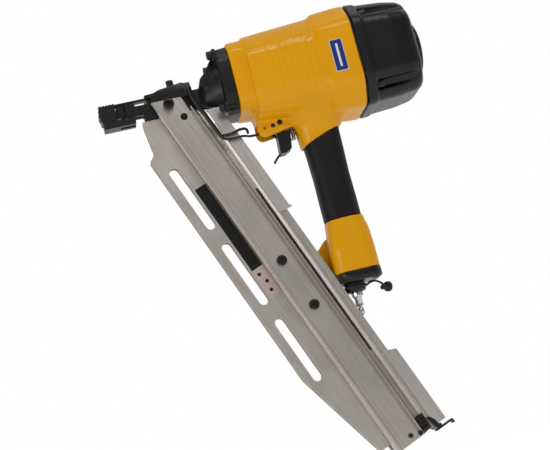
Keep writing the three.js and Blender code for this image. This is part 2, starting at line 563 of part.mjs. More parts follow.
// ---------------------------------------------------------------- magazine
// Half of the rail section, as [distance from the middle plane, place across the magazine].
const RAIL_SECTION = [[6.3, 50.6], [12.6, 50.6], [14.4, 51.6], [RAIL.outer, 53.4], [RAIL.outer, 55.4],
  [14.1, 55.7], [14.1, 56.7], [RAIL.outer, 57], [RAIL.outer, 80], [14.4, 81.4], [12.8, 82], [10.6, 82.2],
  [10.6, 83.6], [12.3, 83.9], [12.3, 85.6], [9.8, 86.6], [8.2, 88.6], [7.5, 91.4], [8.2, 94], [9.8, 96],
  [10.2, 96.4], [10.2, 99], [9, 99.6], [9, RAIL.back], [2.4, RAIL.back], [2.4, 99.4], [5.2, 99.4], [5.2, 89.8],
  [PLATE.inner, 89.8], [PLATE.inner, 57.2], [6.3, 57.2]];

// The room that the nose casting and the contact arm take, in the magazine's own directions.
const noseRoom = () => join(
  toolBox([-20, 150], [-60, 60], [-1, 60]),
  toolBox([-20, 130], [-12.2, 12.2], [NOSE.bottom - 1, 10]),
  toolBox([103, 160], [-60, 60], [-19, 60]),
  toolBox([112, 160], [-60, 60], [-36, 60]),
  box([-20, 46], [-60, 60], [82.8, 120]),
);

function rail(side) {
  const section = rounded(RAIL_SECTION.map(([t, w]) => [side * t, w]));
  const bolts = MAGAZINE_BOLTS.map(([u, w]) =>
    rod("y", side > 0 ? 4 : -16, side > 0 ? 16 : -4, 3.3, [u, w], { sides: 12 }));
  const nearHoles = side > 0 ? [] : [
    box([PUSHER.slotFrom, RAIL.bottom + 1], [-16, -4.9], [90.6, 93.4]),
    rod("y", -16, -4, 3.3, [LATCH_KNOB.u, LATCH_KNOB.w], { sides: 12 }),
    rod("y", -16, -10.6, 4, [SOCKET_SCREW.u, SOCKET_SCREW.w], { sides: 14 }),
    rod("y", -11, -4, 2.4, [SOCKET_SCREW.u, SOCKET_SCREW.w], { sides: 10 }),
    ...RIVETS.map(([u, w]) => rod("y", -16, -4, 1.9, [u, w], { sides: 10 })),
  ];
  return cut(prism("x", section, 12, RAIL.bottom), noseRoom(), ...bolts, ...nearHoles);
}

// The slotted plate between the rails: nail points run behind it, and its slots show how many are left.
function slottedPlate(side) {
  const outline = rounded([[29, 56.9], [30, 33], [67, 24.4], [72, PLATE.front], [352, PLATE.front],
    [PLATE.bottom - 2, 38.6], [PLATE.bottom, 41], [PLATE.bottom, PLATE.rear]], 1);
  const [y0, y1] = side < 0 ? [-PLATE.outer, -PLATE.inner] : [PLATE.inner, PLATE.outer];
  const blank = prism("y", outline, y0, y1);
  const slots = Array.from({ length: 3 }, (_, i) => {
    const from = SLOT.first + i * SLOT.pitch + SLOT.width / 2;
    const to = from + SLOT.length - SLOT.width;
    return join(
      box([from, to], [-10, 10], [SLOT.across - SLOT.width / 2, SLOT.across + SLOT.width / 2]),
      ...[from, to].map((u) => rod("y", -10, 10, SLOT.width / 2, [u, SLOT.across], { sides: 16 })),
    );
  });
  return cut(
    blank,
    ...slots,
    toolBox([-20, 150], [-60, 60], [NOSE.bottom - 1, 60]),
    toolBox([-20, 42.6], [-60, 60], [-52, 60]),
  );
}

// The pusher: a foot behind the last nail, a runner in the track of the nail heads, and a neck to the
// thumb slide.
function pusher() {
  const foot = box([PUSHER.from, PUSHER.from + 14], [-2.2, 2.2], [32, 91]);
  const runner = box([PUSHER.from, PUSHER.to], [-4.8, 4.8], [90.2, 99]);
  const neck = box([PUSHER.thumb, PUSHER.to], [-9.5, -4.5], [91, 93]);
  return join(foot, runner, neck);
}

function pusherGrip() {
  const base = box([PUSHER.thumb - 1, PUSHER.to + 1], [-11.4, -9.8], [87.6, 95.4]);
  const ridges = Array.from({ length: 4 }, (_, i) =>
    box([PUSHER.thumb + 4 * i, PUSHER.thumb + 2 + 4 * i], [-13.6, -11], [88, 95]));
  return join(base, ...ridges);
}

piece("rail_left", rail(-1), FINISH.aluminium(), magazine);
piece("rail_right", rail(1), FINISH.aluminium(), magazine);
piece("slotted_plate_left", slottedPlate(-1), FINISH.aluminium(), magazine);
piece("slotted_plate_right", slottedPlate(1), FINISH.aluminium(), magazine);
piece("guide_plate", cut(
  prism("y", rounded([[40, 96.6], [40, 110], [192, 110], [193.5, 112], [195, 112], [195, 107],
    [193, 96.6]], 0.4), -12.4, -10.5),
  toolBox([-20, 160], [-60, 60], [-20, 60]),
), FINISH.aluminium(), magazine);
piece("rear_guide_plate", prism("y", rounded([[374, 100.4], [380, 114], [467.4, 114], [467.4, 100.4]], 0.8),
  -11.3, -9.3), FINISH.aluminium(), magazine);
piece("pusher", pusher(), FINISH.steel(), magazine);
piece("pusher_grip", pusherGrip(), FINISH.blackPlastic(), magazine);
piece("end_bracket", join(
  box([RAIL.bottom + FIT, 471.6], [-13.8, 13.8], [99.8, RAIL.back]),
  prism("y", rounded([[456, 96.6], [456, 99.4], [462, 103], [471.6, 104], [471.6, 99.8]], 0.6), -13.8, -12.6),
  prism("y", rounded([[456, 96.6], [456, 99.4], [462, 103], [471.6, 104], [471.6, 99.8]], 0.6), 12.6, 13.8),
), FINISH.blackSteel(), magazine);
piece("release_lever", join(
  box([472.2, 474], [-6, 6], [99.8, 121]),
  box([472.2, 477], [-6, 6], [119.2, 121]),
), FINISH.blackSteel(), magazine);
MAGAZINE_BOLTS.forEach(([u, w], i) => {
  piece(`magazine_bolt_${i + 1}`, socketScrew("y", -6.6, -RAIL.outer - FIT, -18.6, 3, 5.4, [u, w], 16),
    FINISH.blackSteel(), magazine);
  piece(`lug_bolt_${i + 1}`, socketScrew("y", 6.6, 20.8, 24.6, 3, 5.4, [u, w]),
    FINISH.blackSteel(), magazine);
});
piece("nose_latch_knob", socketScrew("y", -6, -RAIL.outer - FIT, -22, 2.6, 5.7,
  [LATCH_KNOB.u, LATCH_KNOB.w], 24), FINISH.blackPlastic(), magazine);
piece("rail_socket_screw", socketScrew("y", -6, -10.9, -14, 2, 3.6, [SOCKET_SCREW.u, SOCKET_SCREW.w], 14),
  FINISH.steel(), magazine);
RIVETS.forEach(([u, w], i) => {
  piece(`rail_rivet_${i + 1}`, join(
    rod("y", -RAIL.outer - FIT - 0.1, -5, 1.6, [u, w], { sides: 10 }),
    rod("y", -16.6, -RAIL.outer - FIT, 2.6, [u, w], { sides: 14 }),
  ), FINISH.steel(), magazine);
});

export default tool;
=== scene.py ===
"""Looks of a pneumatic framing nailer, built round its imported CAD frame.

Every size is in millimetres, measured from the tip of the nose along the drive axis as in the part's own
drawing, and is turned to the row frame's metres by the Lay of each piece.
"""

import json
import logging
import math
from collections.abc import Iterable
from dataclasses import dataclass
from enum import Enum
from itertools import pairwise

import bpy
from mathutils import Matrix, Vector


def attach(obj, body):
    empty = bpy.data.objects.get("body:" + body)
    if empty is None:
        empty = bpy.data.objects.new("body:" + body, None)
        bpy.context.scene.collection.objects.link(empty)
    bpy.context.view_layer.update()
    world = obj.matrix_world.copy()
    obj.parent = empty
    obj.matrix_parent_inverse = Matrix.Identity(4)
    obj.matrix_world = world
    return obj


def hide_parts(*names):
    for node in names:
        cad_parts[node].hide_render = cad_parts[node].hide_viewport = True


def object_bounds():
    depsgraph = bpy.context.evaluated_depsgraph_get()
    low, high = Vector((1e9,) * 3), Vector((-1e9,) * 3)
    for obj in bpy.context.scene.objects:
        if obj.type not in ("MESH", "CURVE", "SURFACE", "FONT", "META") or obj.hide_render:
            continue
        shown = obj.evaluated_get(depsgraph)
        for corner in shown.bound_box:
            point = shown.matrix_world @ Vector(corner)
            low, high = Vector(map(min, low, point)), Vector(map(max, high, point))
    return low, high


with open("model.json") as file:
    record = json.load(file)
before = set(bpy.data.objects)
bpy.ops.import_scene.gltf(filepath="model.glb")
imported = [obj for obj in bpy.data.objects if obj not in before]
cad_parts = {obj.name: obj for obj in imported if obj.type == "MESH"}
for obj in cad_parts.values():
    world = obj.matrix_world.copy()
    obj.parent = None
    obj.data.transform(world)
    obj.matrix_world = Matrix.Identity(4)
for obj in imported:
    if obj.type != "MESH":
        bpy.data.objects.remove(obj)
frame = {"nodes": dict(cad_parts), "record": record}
CAD_BOX = [list(corner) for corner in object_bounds()]

LOG = logging.getLogger("nailer")
MM = 0.001
GRIP_CENTRE = (225.5, 0.0, -118.0)  # the row's origin, in the drawing's millimetres
LEAN_SIN, LEAN_COS = math.sin(math.radians(69)), math.cos(math.radians(69))
CORNERS = ((1, 1), (-1, 1), (-1, -1), (1, -1))

# Places that two sub-assemblies share.
CAP_SCREW_OFFSET = 39.0  # of the head cap's screws from the drive axis, along Y and Z
NOSE_SCREWS = tuple((y * 27, 33 if z > 0 else -26) for y, z in CORNERS)
FOOT_SCREWS = ((241, 12), (241, -12))
MAGAZINE_SCREWS = ((237, 68), (294, 69))  # along and across the magazine
SEAM_HEIGHT, SEAM_SLOPE = -75, math.tan(math.radians(20))  # where the grip's sleeve meets the paint

Point2 = tuple[float, float]
Point3 = tuple[float, float, float]
Station = tuple[float, float, float, float, float]  # height, half a, half b, centre a, centre b


# ---------------------------------------------------------------- places and directions
class Lay(Enum):
    """Directions of a piece's own a, b and height axes in the row frame."""

    DRIVE = ((0, 1, 0), (0, 0, 1), (1, 0, 0))
    NOSEWARD = ((0, 0, 1), (0, 1, 0), (-1, 0, 0))
    UPRIGHT = ((1, 0, 0), (0, 1, 0), (0, 0, 1))
    HANGING = ((0, 1, 0), (1, 0, 0), (0, 0, -1))
    ACROSS = ((1, 0, 0), (0, 0, 1), (0, -1, 0))
    MAGAZINE = ((LEAN_COS, 0, -LEAN_SIN), (LEAN_SIN, 0, LEAN_COS), (0, -1, 0))
    MAGAZINE_FAR = ((LEAN_SIN, 0, LEAN_COS), (LEAN_COS, 0, -LEAN_SIN), (0, 1, 0))

    def matrix(self) -> Matrix:
        """The matrix from the piece's millimetres to the row frame's metres."""
        turn = Matrix([Vector(axis) for axis in self.value]).transposed().to_4x4()
        return Matrix.Translation(at(0, 0, 0)) @ turn @ Matrix.Scale(MM, 4)


def at(x: float, y: float, z: float) -> Vector:
    """Turn a point of the drawing into the row frame's metres."""
    return (Vector((x, y, z)) - Vector(GRIP_CENTRE)) * MM


# ---------------------------------------------------------------- bench work
def deselect() -> None:
    """Leave nothing selected."""
    bpy.ops.object.select_all(action="DESELECT")


def take(piece: bpy.types.Object) -> bpy.types.Object:
    """Make a piece the only one selected and the active one.

    Args:
        piece: The piece.

    Returns:
        The piece.
    """
    deselect()
    piece.select_set(True)
    bpy.context.view_layer.objects.active = piece
    return piece


def settle(name: str, lay: Lay | Matrix) -> bpy.types.Object:
    """Close the active mesh outwards, name it, and put its place into its vertices.

    Args:
        name: The piece's name.
        lay: How the piece lies in the row frame.

    Returns:
        The piece, at the origin, unturned and unscaled.
    """
    bpy.ops.mesh.select_all(action="SELECT")
    bpy.ops.mesh.normals_make_consistent(inside=False)
    bpy.ops.object.mode_set(mode="OBJECT")
    piece = bpy.context.object
    piece.name = name
    piece.matrix_world = lay.matrix() if isinstance(lay, Lay) else lay
    take(piece)
    bpy.ops.object.transform_apply(location=True, rotation=True, scale=True)
    return piece


@dataclass(frozen=True)
class Outline:
    """A section of unit half width: a circle, or a square with its corners rounded or chamfered.

    Attributes:
        corner: Share of the half width that a corner takes; 1 is a circle.
        steps: Steps round a quarter.
        chamfer: Whether the corner is a flat facet with eased edges.
        sides: Sides of a section with few of them, such as a hexagon; 0 for any other.
    """

    corner: float = 1.0
    steps: int = 12
    chamfer: bool = False
    sides: int = 0

    def draw(self) -> None:
        """Start a new mesh with the outline's face, in edit mode."""
        deselect()
        if self.corner >= 1:
            sides = self.sides or 4 * self.steps
            bpy.ops.mesh.primitive_circle_add(vertices=sides, radius=1, fill_type="NGON")
            bpy.ops.object.mode_set(mode="EDIT")
        else:
            bpy.ops.mesh.primitive_plane_add(size=2)
            bpy.ops.object.mode_set(mode="EDIT")
            bpy.ops.mesh.select_all(action="SELECT")
            first_steps = 1 if self.chamfer else self.steps
            bpy.ops.mesh.bevel(offset=self.corner, affect="VERTICES", segments=first_steps)
            if self.chamfer:
                bpy.ops.mesh.select_all(action="SELECT")
                bpy.ops.mesh.bevel(offset=self.corner / 3, affect="VERTICES", segments=4)
        bpy.ops.mesh.select_all(action="SELECT")


ROUND = Outline(steps=16)
SMALL_ROUND = Outline(steps=10)
HEXAGON = Outline(sides=6)


def stack(name: str, outline: Outline, stations: list[Station], lay: Lay | Matrix) -> bpy.types.Object:
    """Pull an outline up through its stations, as a turned or lofted body.

    Args:
        name: The piece's name.
        outline: The section.
        stations: Height, half sizes and centre of each section in turn.
        lay: How the piece lies in the row frame.

    Returns:
        The closed piece.
    """
    outline.draw()
    height, half_a, half_b, centre_a, centre_b = stations[0]
    bpy.ops.transform.resize(value=(half_a, half_b, 1), center_override=(0, 0, 0))
    bpy.ops.transform.translate(value=(centre_a, centre_b, height))
    for below, above in pairwise(stations):
        step = (above[3] - below[3], above[4] - below[4], above[0] - below[0])
        bpy.ops.mesh.extrude_region_move(TRANSFORM_OT_translate={"value": step})
        bpy.ops.transform.resize(
            value=(above[1] / below[1], above[2] / below[2], 1),
            center_override=(above[3], above[4], above[0]),
        )
    return settle(name, lay)


def turned(name: str, profile: list[Point2], centre: Point2, lay: Lay | Matrix,
           outline: Outline = ROUND) -> bpy.types.Object:
    """A body turned about its height axis.

    Args:
        name: The piece's name.
        profile: Height and radius of each ring in turn.
        centre: Where the axis stands.
        lay: How the piece lies in the row frame.
        outline: A round section or a hexagon.

    Returns:
        The closed piece.
    """
    return stack(name, outline, [(height, radius, radius, *centre) for height, radius in profile], lay)


def prism(name: str, points: list[Point2], low: float, high: float, lay: Lay,
          corner: float = 0.0) -> bpy.types.Object:
    """A flat outline pulled up from one height to another.

    Args:
        name: The piece's name.
        points: The outline's corners.
        low: Height that it starts at.
        high: Height that it ends at.
        lay: How the piece lies in the row frame.
        corner: Rounding of the outline's corners.

    Returns:
        The closed piece.
    """
    deselect()
    bpy.ops.mesh.primitive_circle_add(vertices=len(points), fill_type="NGON")
    for vertex, (a, b) in zip(bpy.context.object.data.vertices, points):
        vertex.co = (a, b, low)
    bpy.ops.object.mode_set(mode="EDIT")
    bpy.ops.mesh.select_all(action="SELECT")
    if corner:
        bpy.ops.mesh.bevel(offset=corner, affect="VERTICES", segments=4)
        bpy.ops.mesh.select_all(action="SELECT")
    bpy.ops.mesh.extrude_region_move(TRANSFORM_OT_translate={"value": (0, 0, high - low)})
    return settle(name, lay)


def block(name: str, a: Point2, b: Point2, height: Point2, lay: Lay, corner: float = 0.0) -> bpy.types.Object:
    """A rectangular prism between two places on each of its own axes.

    Args:
        name: The piece's name.
        a: Its two ends along its a axis.
        b: Its two ends along its b axis.
        height: Its two ends along its height axis.
        lay: How the piece lies in the row frame.
        corner: Rounding of the outline's corners.

    Returns:
        The closed piece.
    """
    points = [(a[0], b[0]), (a[1], b[0]), (a[1], b[1]), (a[0], b[1])]
    return prism(name, points, height[0], height[1], lay, corner)


def bent_bar(name: str, points: list[tuple[float, float, float, float]]) -> bpy.types.Object:
    """A round bar bent through points of the drawing.

    Args:
        name: The piece's name.
        points: The points that its middle line passes through, each with half its thickness there.

    Returns:
        The bar as a mesh.
    """
    curve = bpy.data.curves.new(name, "CURVE")
    curve.dimensions = "3D"
    curve.bevel_depth = MM
    curve.bevel_resolution = 5
    curve.use_fill_caps = True
    curve.resolution_u = 8
    spline = curve.splines.new("BEZIER")
    spline.bezier_points.add(len(points) - 1)
    for bend, point in zip(spline.bezier_points, points):
        bend.co = at(*point[:3])
        bend.radius = point[3]
        bend.handle_left_type = bend.handle_right_type = "AUTO"
    piece = bpy.data.objects.new(name, curve)
    bpy.context.scene.collection.objects.link(piece)
    take(piece)
    bpy.ops.object.convert(target="MESH")
    bpy.ops.object.mode_set(mode="EDIT")
    bpy.ops.mesh.select_all(action="SELECT")
    bpy.ops.mesh.remove_doubles(threshold=1e-6)
    bpy.ops.mesh.normals_make_consistent(inside=False)
    bpy.ops.object.mode_set(mode="OBJECT")
    return bpy.context.object


def from_node(node: str, name: str) -> bpy.types.Object:
    """A merged copy of a CAD node's mesh, with its flat faces joined up.

    Args:
        node: The CAD node.
        name: The new piece's name.

    Returns:
        The copy, ready for further work.
    """
    piece = bpy.data.objects.new(name, frame["nodes"][node].data.copy())
    piece.data.materials.clear()
    bpy.context.scene.collection.objects.link(piece)
    take(piece)
    bpy.ops.mesh.customdata_custom_splitnormals_clear()
    bpy.ops.object.mode_set(mode="EDIT")
    bpy.ops.mesh.select_all(action="SELECT")
    bpy.ops.mesh.remove_doubles(threshold=4e-6)
    bpy.ops.mesh.dissolve_limited(angle_limit=math.radians(0.8))
    bpy.ops.object.mode_set(mode="OBJECT")
    return piece


def apply_modifier(piece: bpy.types.Object, kind: str, settings: dict[str, object]) -> None:
    """Add a modifier with its settings and apply it.

    Args:
        piece: The piece.
        kind: The modifier's type.
        settings: Values of the modifier's own properties.
    """
    modifier = piece.modifiers.new(kind.title(), kind)
    for key, value in settings.items():
        setattr(modifier, key, value)
    take(piece)
    bpy.ops.object.modifier_apply(modifier=modifier.name)


def smooth(piece: bpy.types.Object, angle: float) -> bpy.types.Object:
    """Shade a piece smooth, save at its sharp edges.

    Args:
        piece: The piece.
        angle: Smallest angle in degrees that counts as sharp.

    Returns:
        The piece.
    """
    take(piece)
    bpy.ops.object.shade_smooth_by_angle(angle=math.radians(angle))
    return piece


def joined(first: bpy.types.Object, *others: bpy.types.Object) -> bpy.types.Object:
    """Join pieces into the first one's object.

    Args:
        first: The piece that stays.
        others: The pieces that go into it.

    Returns:
        The first piece.
    """
    take(first)
    for other in others:
        other.select_set(True)
    bpy.ops.object.join()
    return first


def combine(piece: bpy.types.Object, operation: str, tools: Iterable[bpy.types.Object]) -> bpy.types.Object:
    """Combine closed shapes with a piece one by one, and put the shapes away.

    Args:
        piece: The piece that is worked on.
        operation: The Boolean modifier's operation.
        tools: The closed shapes.

    Returns:
        The piece.
    """
    for tool in tools:
        apply_modifier(piece, "BOOLEAN", {"operation": operation, "solver": "EXACT", "object": tool})
        bpy.data.objects.remove(tool)
    return piece


def carve(piece: bpy.types.Object, *tools: bpy.types.Object) -> bpy.types.Object:
    """Cut tools out of a piece and put the tools away.

    Args:
        piece: The piece that is cut.
        tools: Closed shapes to take away.

    Returns:
        The piece.
    """
    return combine(piece, "DIFFERENCE", tools)


def fuse(piece: bpy.types.Object, voxel: float, passes: int) -> bpy.types.Object:
    """Melt overlapping shells into one skin with soft inner corners, as a mould leaves it.

    Args:
        piece: Closed shells in one mesh.
        voxel: Grain of the new skin in millimetres.
        passes: Smoothing passes.

    Returns:
        The piece, smooth shaded.
    """
    apply_modifier(piece, "REMESH", {"mode": "VOXEL", "voxel_size": voxel * MM, "adaptivity": 0})
    apply_modifier(piece, "SMOOTH", {"factor": 0.5, "iterations": passes})
    take(piece)
    bpy.ops.object.shade_smooth()
    return piece


def ease(piece: bpy.types.Object, width: float, segments: int = 2, angle: float = 30) -> bpy.types.Object:
    """Break a piece's sharp edges and shade what is nearly flush as one surface.

    Args:
        piece: The piece.
        width: Width of the broken edge in millimetres.
        segments: Steps across the edge.
        angle: Smallest angle in degrees that counts as sharp.

    Returns:
        The piece.
    """
    apply_modifier(piece, "BEVEL", {
        "width": width * MM, "segments": segments, "limit_method": "ANGLE",
        "angle_limit": math.radians(angle), "harden_normals": False, "miter_outer": "MITER_ARC",
    })
    return smooth(piece, angle)


def seam_slab(name: str, gap: float, far: float) -> bpy.types.Object:
    """A wide slab on one side of the slanted seam where the grip's sleeve starts.

    Args:
        name: The slab's name.
        gap: How far above the seam it starts.
        far: Height of its other side.

    Returns:
        The slab, to cut with.
    """
    slant = [(x, SEAM_HEIGHT + gap + (x - GRIP_CENTRE[0]) * SEAM_SLOPE) for x in (150, 300)]
    return prism(name, [*slant, (300, far), (150, far)], -60, 60, Lay.ACROSS)


def flatten(piece: bpy.types.Object) -> bpy.types.Object:
    """Let a piece's large flat faces rule the shading of their edges, so that they stay flat."""
    apply_modifier(piece, "WEIGHTED_NORMAL", {"keep_sharp": True})
    return piece


# ---------------------------------------------------------------- finishes
def linear(hex_colour: str) -> tuple[float, float, float, float]:
    """An sRGB hex colour as linear red, green, blue and alpha."""
    channels = [int(hex_colour[i : i + 2], 16) / 255 for i in (1, 3, 5)]
    return (*(c / 12.92 if c <= 0.04045 else ((c + 0.055) / 1.055) ** 2.4 for c in channels), 1.0)


def add_node(tree: bpy.types.NodeTree, kind: str, settings: dict[str, object] | None = None,
             inputs: dict[str | int, object] | None = None) -> bpy.types.Node:
    """Add a shader node.

    Args:
        tree: The material's node tree.
        kind: The node's type.
        settings: Values of the node's own properties.
        inputs: Value, or linked output socket, of each input.

    Returns:
        The node.
    """
    node = tree.nodes.new(kind)
    for key, value in (settings or {}).items():
        setattr(node, key, value)
    for key, value in (inputs or {}).items():
        if isinstance(value, bpy.types.NodeSocket):
            tree.links.new(value, node.inputs[key])
        else:
            node.inputs[key].default_value = value
    return node


@dataclass(frozen=True)
class Finish:
    """A surface with a fine pattern that shifts its colour, gloss and relief a little.

    Attributes:
        name: Common name of the material and how it was made.
        dark: Colour in the pattern's hollows.
        light: Colour on the pattern's crests.
        roughness: Roughness in the hollows and on the crests.
        grain: Size of the pattern along x, y and z, in millimetres.
        relief: Depth of the pattern, in millimetres.
        lean: Turn of the pattern about Y, in degrees.
        shader: Values of the shader's own sockets.
        contrast: Part of the pattern's range that the colours span.
        detail: How much finer pattern rides on the coarse one.
        mottle: Size of a broad, faint change of tone, in millimetres.
    """

    name: str
    dark: str
    light: str
    roughness: Point2
    grain: Point3
    relief: float
    lean: float = 0.0
    shader: tuple[tuple[str, float], ...] = ()
    contrast: Point2 = (0.35, 0.65)
    detail: float = 3.0
    mottle: float = 60.0

    def build(self) -> bpy.types.Material:
        """Make the finish's node material.

        Returns:
            The material.
        """
        material = bpy.data.materials.new(self.name)
        material.use_nodes = True
        tree = material.node_tree
        surface = tree.nodes["Principled BSDF"]
        place = add_node(tree, "ShaderNodeTexCoord").outputs["Object"]
        turned_place = add_node(tree, "ShaderNodeMapping", {"vector_type": "TEXTURE"}, {
            "Vector": place,
            "Rotation": (0, math.radians(self.lean), 0),
            "Scale": tuple(size * MM for size in self.grain),
        }).outputs["Vector"]
        grain = add_node(tree, "ShaderNodeTexNoise", None, {
            "Vector": turned_place, "Scale": 1.0, "Detail": self.detail, "Roughness": 0.55,
        }).outputs["Fac"]
        mottle = add_node(tree, "ShaderNodeTexNoise", None, {
            "Vector": place, "Scale": 1 / (self.mottle * MM), "Detail": 2.0,
        }).outputs["Fac"]
        both = add_node(tree, "ShaderNodeMix", {"data_type": "FLOAT"}, {
            "Factor": 0.35, "A": grain, "B": mottle,
        }).outputs["Result"]
        share = add_node(tree, "ShaderNodeMapRange", None, {
            "Value": both, "From Min": self.contrast[0], "From Max": self.contrast[1],
        }).outputs["Result"]
        colour = add_node(tree, "ShaderNodeMix", {"data_type": "RGBA"}, {
            "Factor": share, 6: linear(self.dark), 7: linear(self.light),
        }).outputs[2]
        tree.links.new(colour, surface.inputs["Base Color"])
        gloss = add_node(tree, "ShaderNodeMapRange", None, {
            "Value": share, "To Min": self.roughness[0], "To Max": self.roughness[1],
        }).outputs["Result"]
        tree.links.new(gloss, surface.inputs["Roughness"])
        bump = add_node(tree, "ShaderNodeBump", None, {
            "Height": grain, "Distance": self.relief * MM, "Strength": 1.0,
        }).outputs["Normal"]
        tree.links.new(bump, surface.inputs["Normal"])
        for key, value in self.shader:
            surface.inputs[key].default_value = value
        return material


METAL = (("Metallic", 1.0),)

# Gloss powder coat on a magnesium casting: deep golden yellow, a clear skin with a faint orange peel.
YELLOW_PAINT = Finish(
    "powder_coated_magnesium_yellow", "#E39E00", "#ECA600", (0.4, 0.46), (1.5, 1.5, 1.5), 0.002,
    shader=(("Coat Weight", 0.4), ("Coat Roughness", 0.04), ("Specular IOR Level", 0.05)), detail=1.0,
)
# Injection-moulded glass-filled nylon: nearly black, satin, with a fine spark-eroded grain.
BLACK_NYLON = Finish(
    "moulded_glass_filled_nylon_black", "#0B0A0A", "#110F0F", (0.26, 0.34), (0.9, 0.9, 0.9), 0.006,
    shader=(("Specular IOR Level", 0.4),),
)
# Black e-coat over an aluminium casting: satin, with the soft unevenness of the cast skin.
BLACK_CASTING = Finish(
    "e_coated_casting_black", "#0C0C0D", "#151415", (0.28, 0.4), (2.2, 2.2, 2.2), 0.03,
    shader=(("Specular IOR Level", 0.35),),
)
# Black oxide on steel: dark, slightly metallic, with rubbed lighter patches.
BLACK_OXIDE = Finish(
    "black_oxide_steel", "#0F0F10", "#191818", (0.28, 0.4), (1.4, 1.4, 1.4), 0.008,
    shader=(("Specular IOR Level", 0.4),),
)
# Moulded rubber: matt and dark, with a dusty bloom.
RUBBER = Finish("moulded_nitrile_rubber", "#121212", "#1C1B1B", (0.6, 0.75), (0.8, 0.8, 0.8), 0.02)
# Grip rubber: fine leathery grain about 1.2 mm across, drawn a little coarser so that it shows.
GRIP_RUBBER = Finish(
    "moulded_grip_rubber", "#070707", "#0D0C0C", (0.46, 0.58), (1.3, 1.3, 1.3), 0.04,
    shader=(("Specular IOR Level", 0.3),), contrast=(0.4, 0.6), detail=2.0,
)
# Extruded aluminium rail, brushed along its length: streaks 0.5 mm wide, drawn about a millimetre wide.
BRUSHED_RAIL = Finish(
    "brushed_extruded_aluminium", "#BDB5AE", "#D6CEC7", (0.3, 0.4), (170, 0.8, 0.8), 0.0025,
    lean=69, shader=METAL, contrast=(0.3, 0.7), detail=3.0, mottle=45,
)
# Rolled aluminium sheet: even satin with very fine mill lines along the magazine.
ROLLED_SHEET = Finish(
    "rolled_aluminium_sheet", "#B8B0A9", "#D9D2CB", (0.36, 0.48), (60, 1.2, 1.2), 0.004,
    lean=69, shader=METAL, contrast=(0.25, 0.75), detail=4.0, mottle=30,
)
# Polished strip of aluminium: nearly a mirror, with faint lines along it.
POLISHED_STRIP = Finish(
    "polished_aluminium_strip", "#D2CBC4", "#E3DDD6", (0.27, 0.32), (180, 2.5, 2.5), 0.0003,
    lean=69, shader=METAL, contrast=(0.25, 0.75), detail=1.0, mottle=25,
)
# Turned aluminium of the cylinder and the piston: lathe marks 0.6 mm apart round the drive axis.
TURNED_ALUMINIUM = Finish(
    "turned_aluminium", "#A8A29C", "#C8C3BD", (0.24, 0.36), (0.6, 30, 30), 0.004, shader=METAL,
)
# Ground tool steel.
GROUND_STEEL = Finish(
    "ground_steel", "#A09D99", "#C4C1BC", (0.22, 0.36), (0.7, 6, 6), 0.004, shader=METAL,
)
# Nickel-chrome plate: bright and slightly cool.
CHROME = Finish(
    "chrome_plate", "#C4C4C6", "#DEDEE0", (0.07, 0.14), (3, 3, 3), 0.001, shader=METAL,
)
# Printed vinyl, in the colours of the labels.
NAVY_VINYL = Finish("printed_vinyl_navy", "#06226E", "#0A2A80", (0.3, 0.38), (2, 2, 2), 0.002)
WHITE_VINYL = Finish("printed_vinyl_white", "#D8DAE0", "#E6E7EA", (0.3, 0.38), (2, 2, 2), 0.002)
SILVER_VINYL = Finish(
    "metallised_vinyl_silver", "#A9A6AE", "#DAD8DC", (0.25, 0.4), (1.6, 1.6, 1.6), 0.004,
    shader=(("Metallic", 0.6),), contrast=(0.42, 0.58),
)
BLACK_VINYL = Finish(
    "printed_vinyl_black", "#080808", "#0E0D0D", (0.4, 0.5), (2, 2, 2), 0.003,
    shader=(("Specular IOR Level", 0.3),),
)
PALE_VINYL = Finish("printed_vinyl_pale", "#B49A94", "#C9B2AB", (0.36, 0.44), (2, 2, 2), 0.002)

CARRIED_FINISH: dict[str, Finish] = {
    "yellow_paint": YELLOW_PAINT, "cap_plastic": BLACK_NYLON, "black_casting": BLACK_CASTING,
    "black_steel": BLACK_OXIDE, "rubber": RUBBER, "grip_rubber": GRIP_RUBBER, "aluminium": TURNED_ALUMINIUM,
    "plate_aluminium": ROLLED_SHEET, "steel": GROUND_STEEL, "chrome": CHROME,
}
MADE_MATERIALS: dict[str, bpy.types.Material] = {}


def dress(piece: bpy.types.Object, finish: Finish) -> None:
    """Give a piece one finish all over.

    Args:
        piece: The piece.
        finish: Its finish, which is built once and shared.
    """
    if finish.name not in MADE_MATERIALS:
        MADE_MATERIALS[finish.name] = finish.build()
    piece.data.materials.clear()
    piece.data.materials.append(MADE_MATERIALS[finish.name])


def hand_over(piece: bpy.types.Object, finish: Finish, body: str = "tool",
              nodes: tuple[str, ...] = ()) -> bpy.types.Object:
    """Dress a finished piece, set what it rides on and what it stands for, and report it.

    Args:
        piece: The finished mesh.
        finish: Its finish.
        body: The CAD body that it rides on.
        nodes: The CAD nodes that it stands for.

    Returns:
        The piece.
    """
    dress(piece, finish)
    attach(piece, body)
    if nodes:
        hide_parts(*nodes)
    LOG.info("%s: %d faces, %s", piece.name, len(piece.data.polygons), finish.name)
    return piece


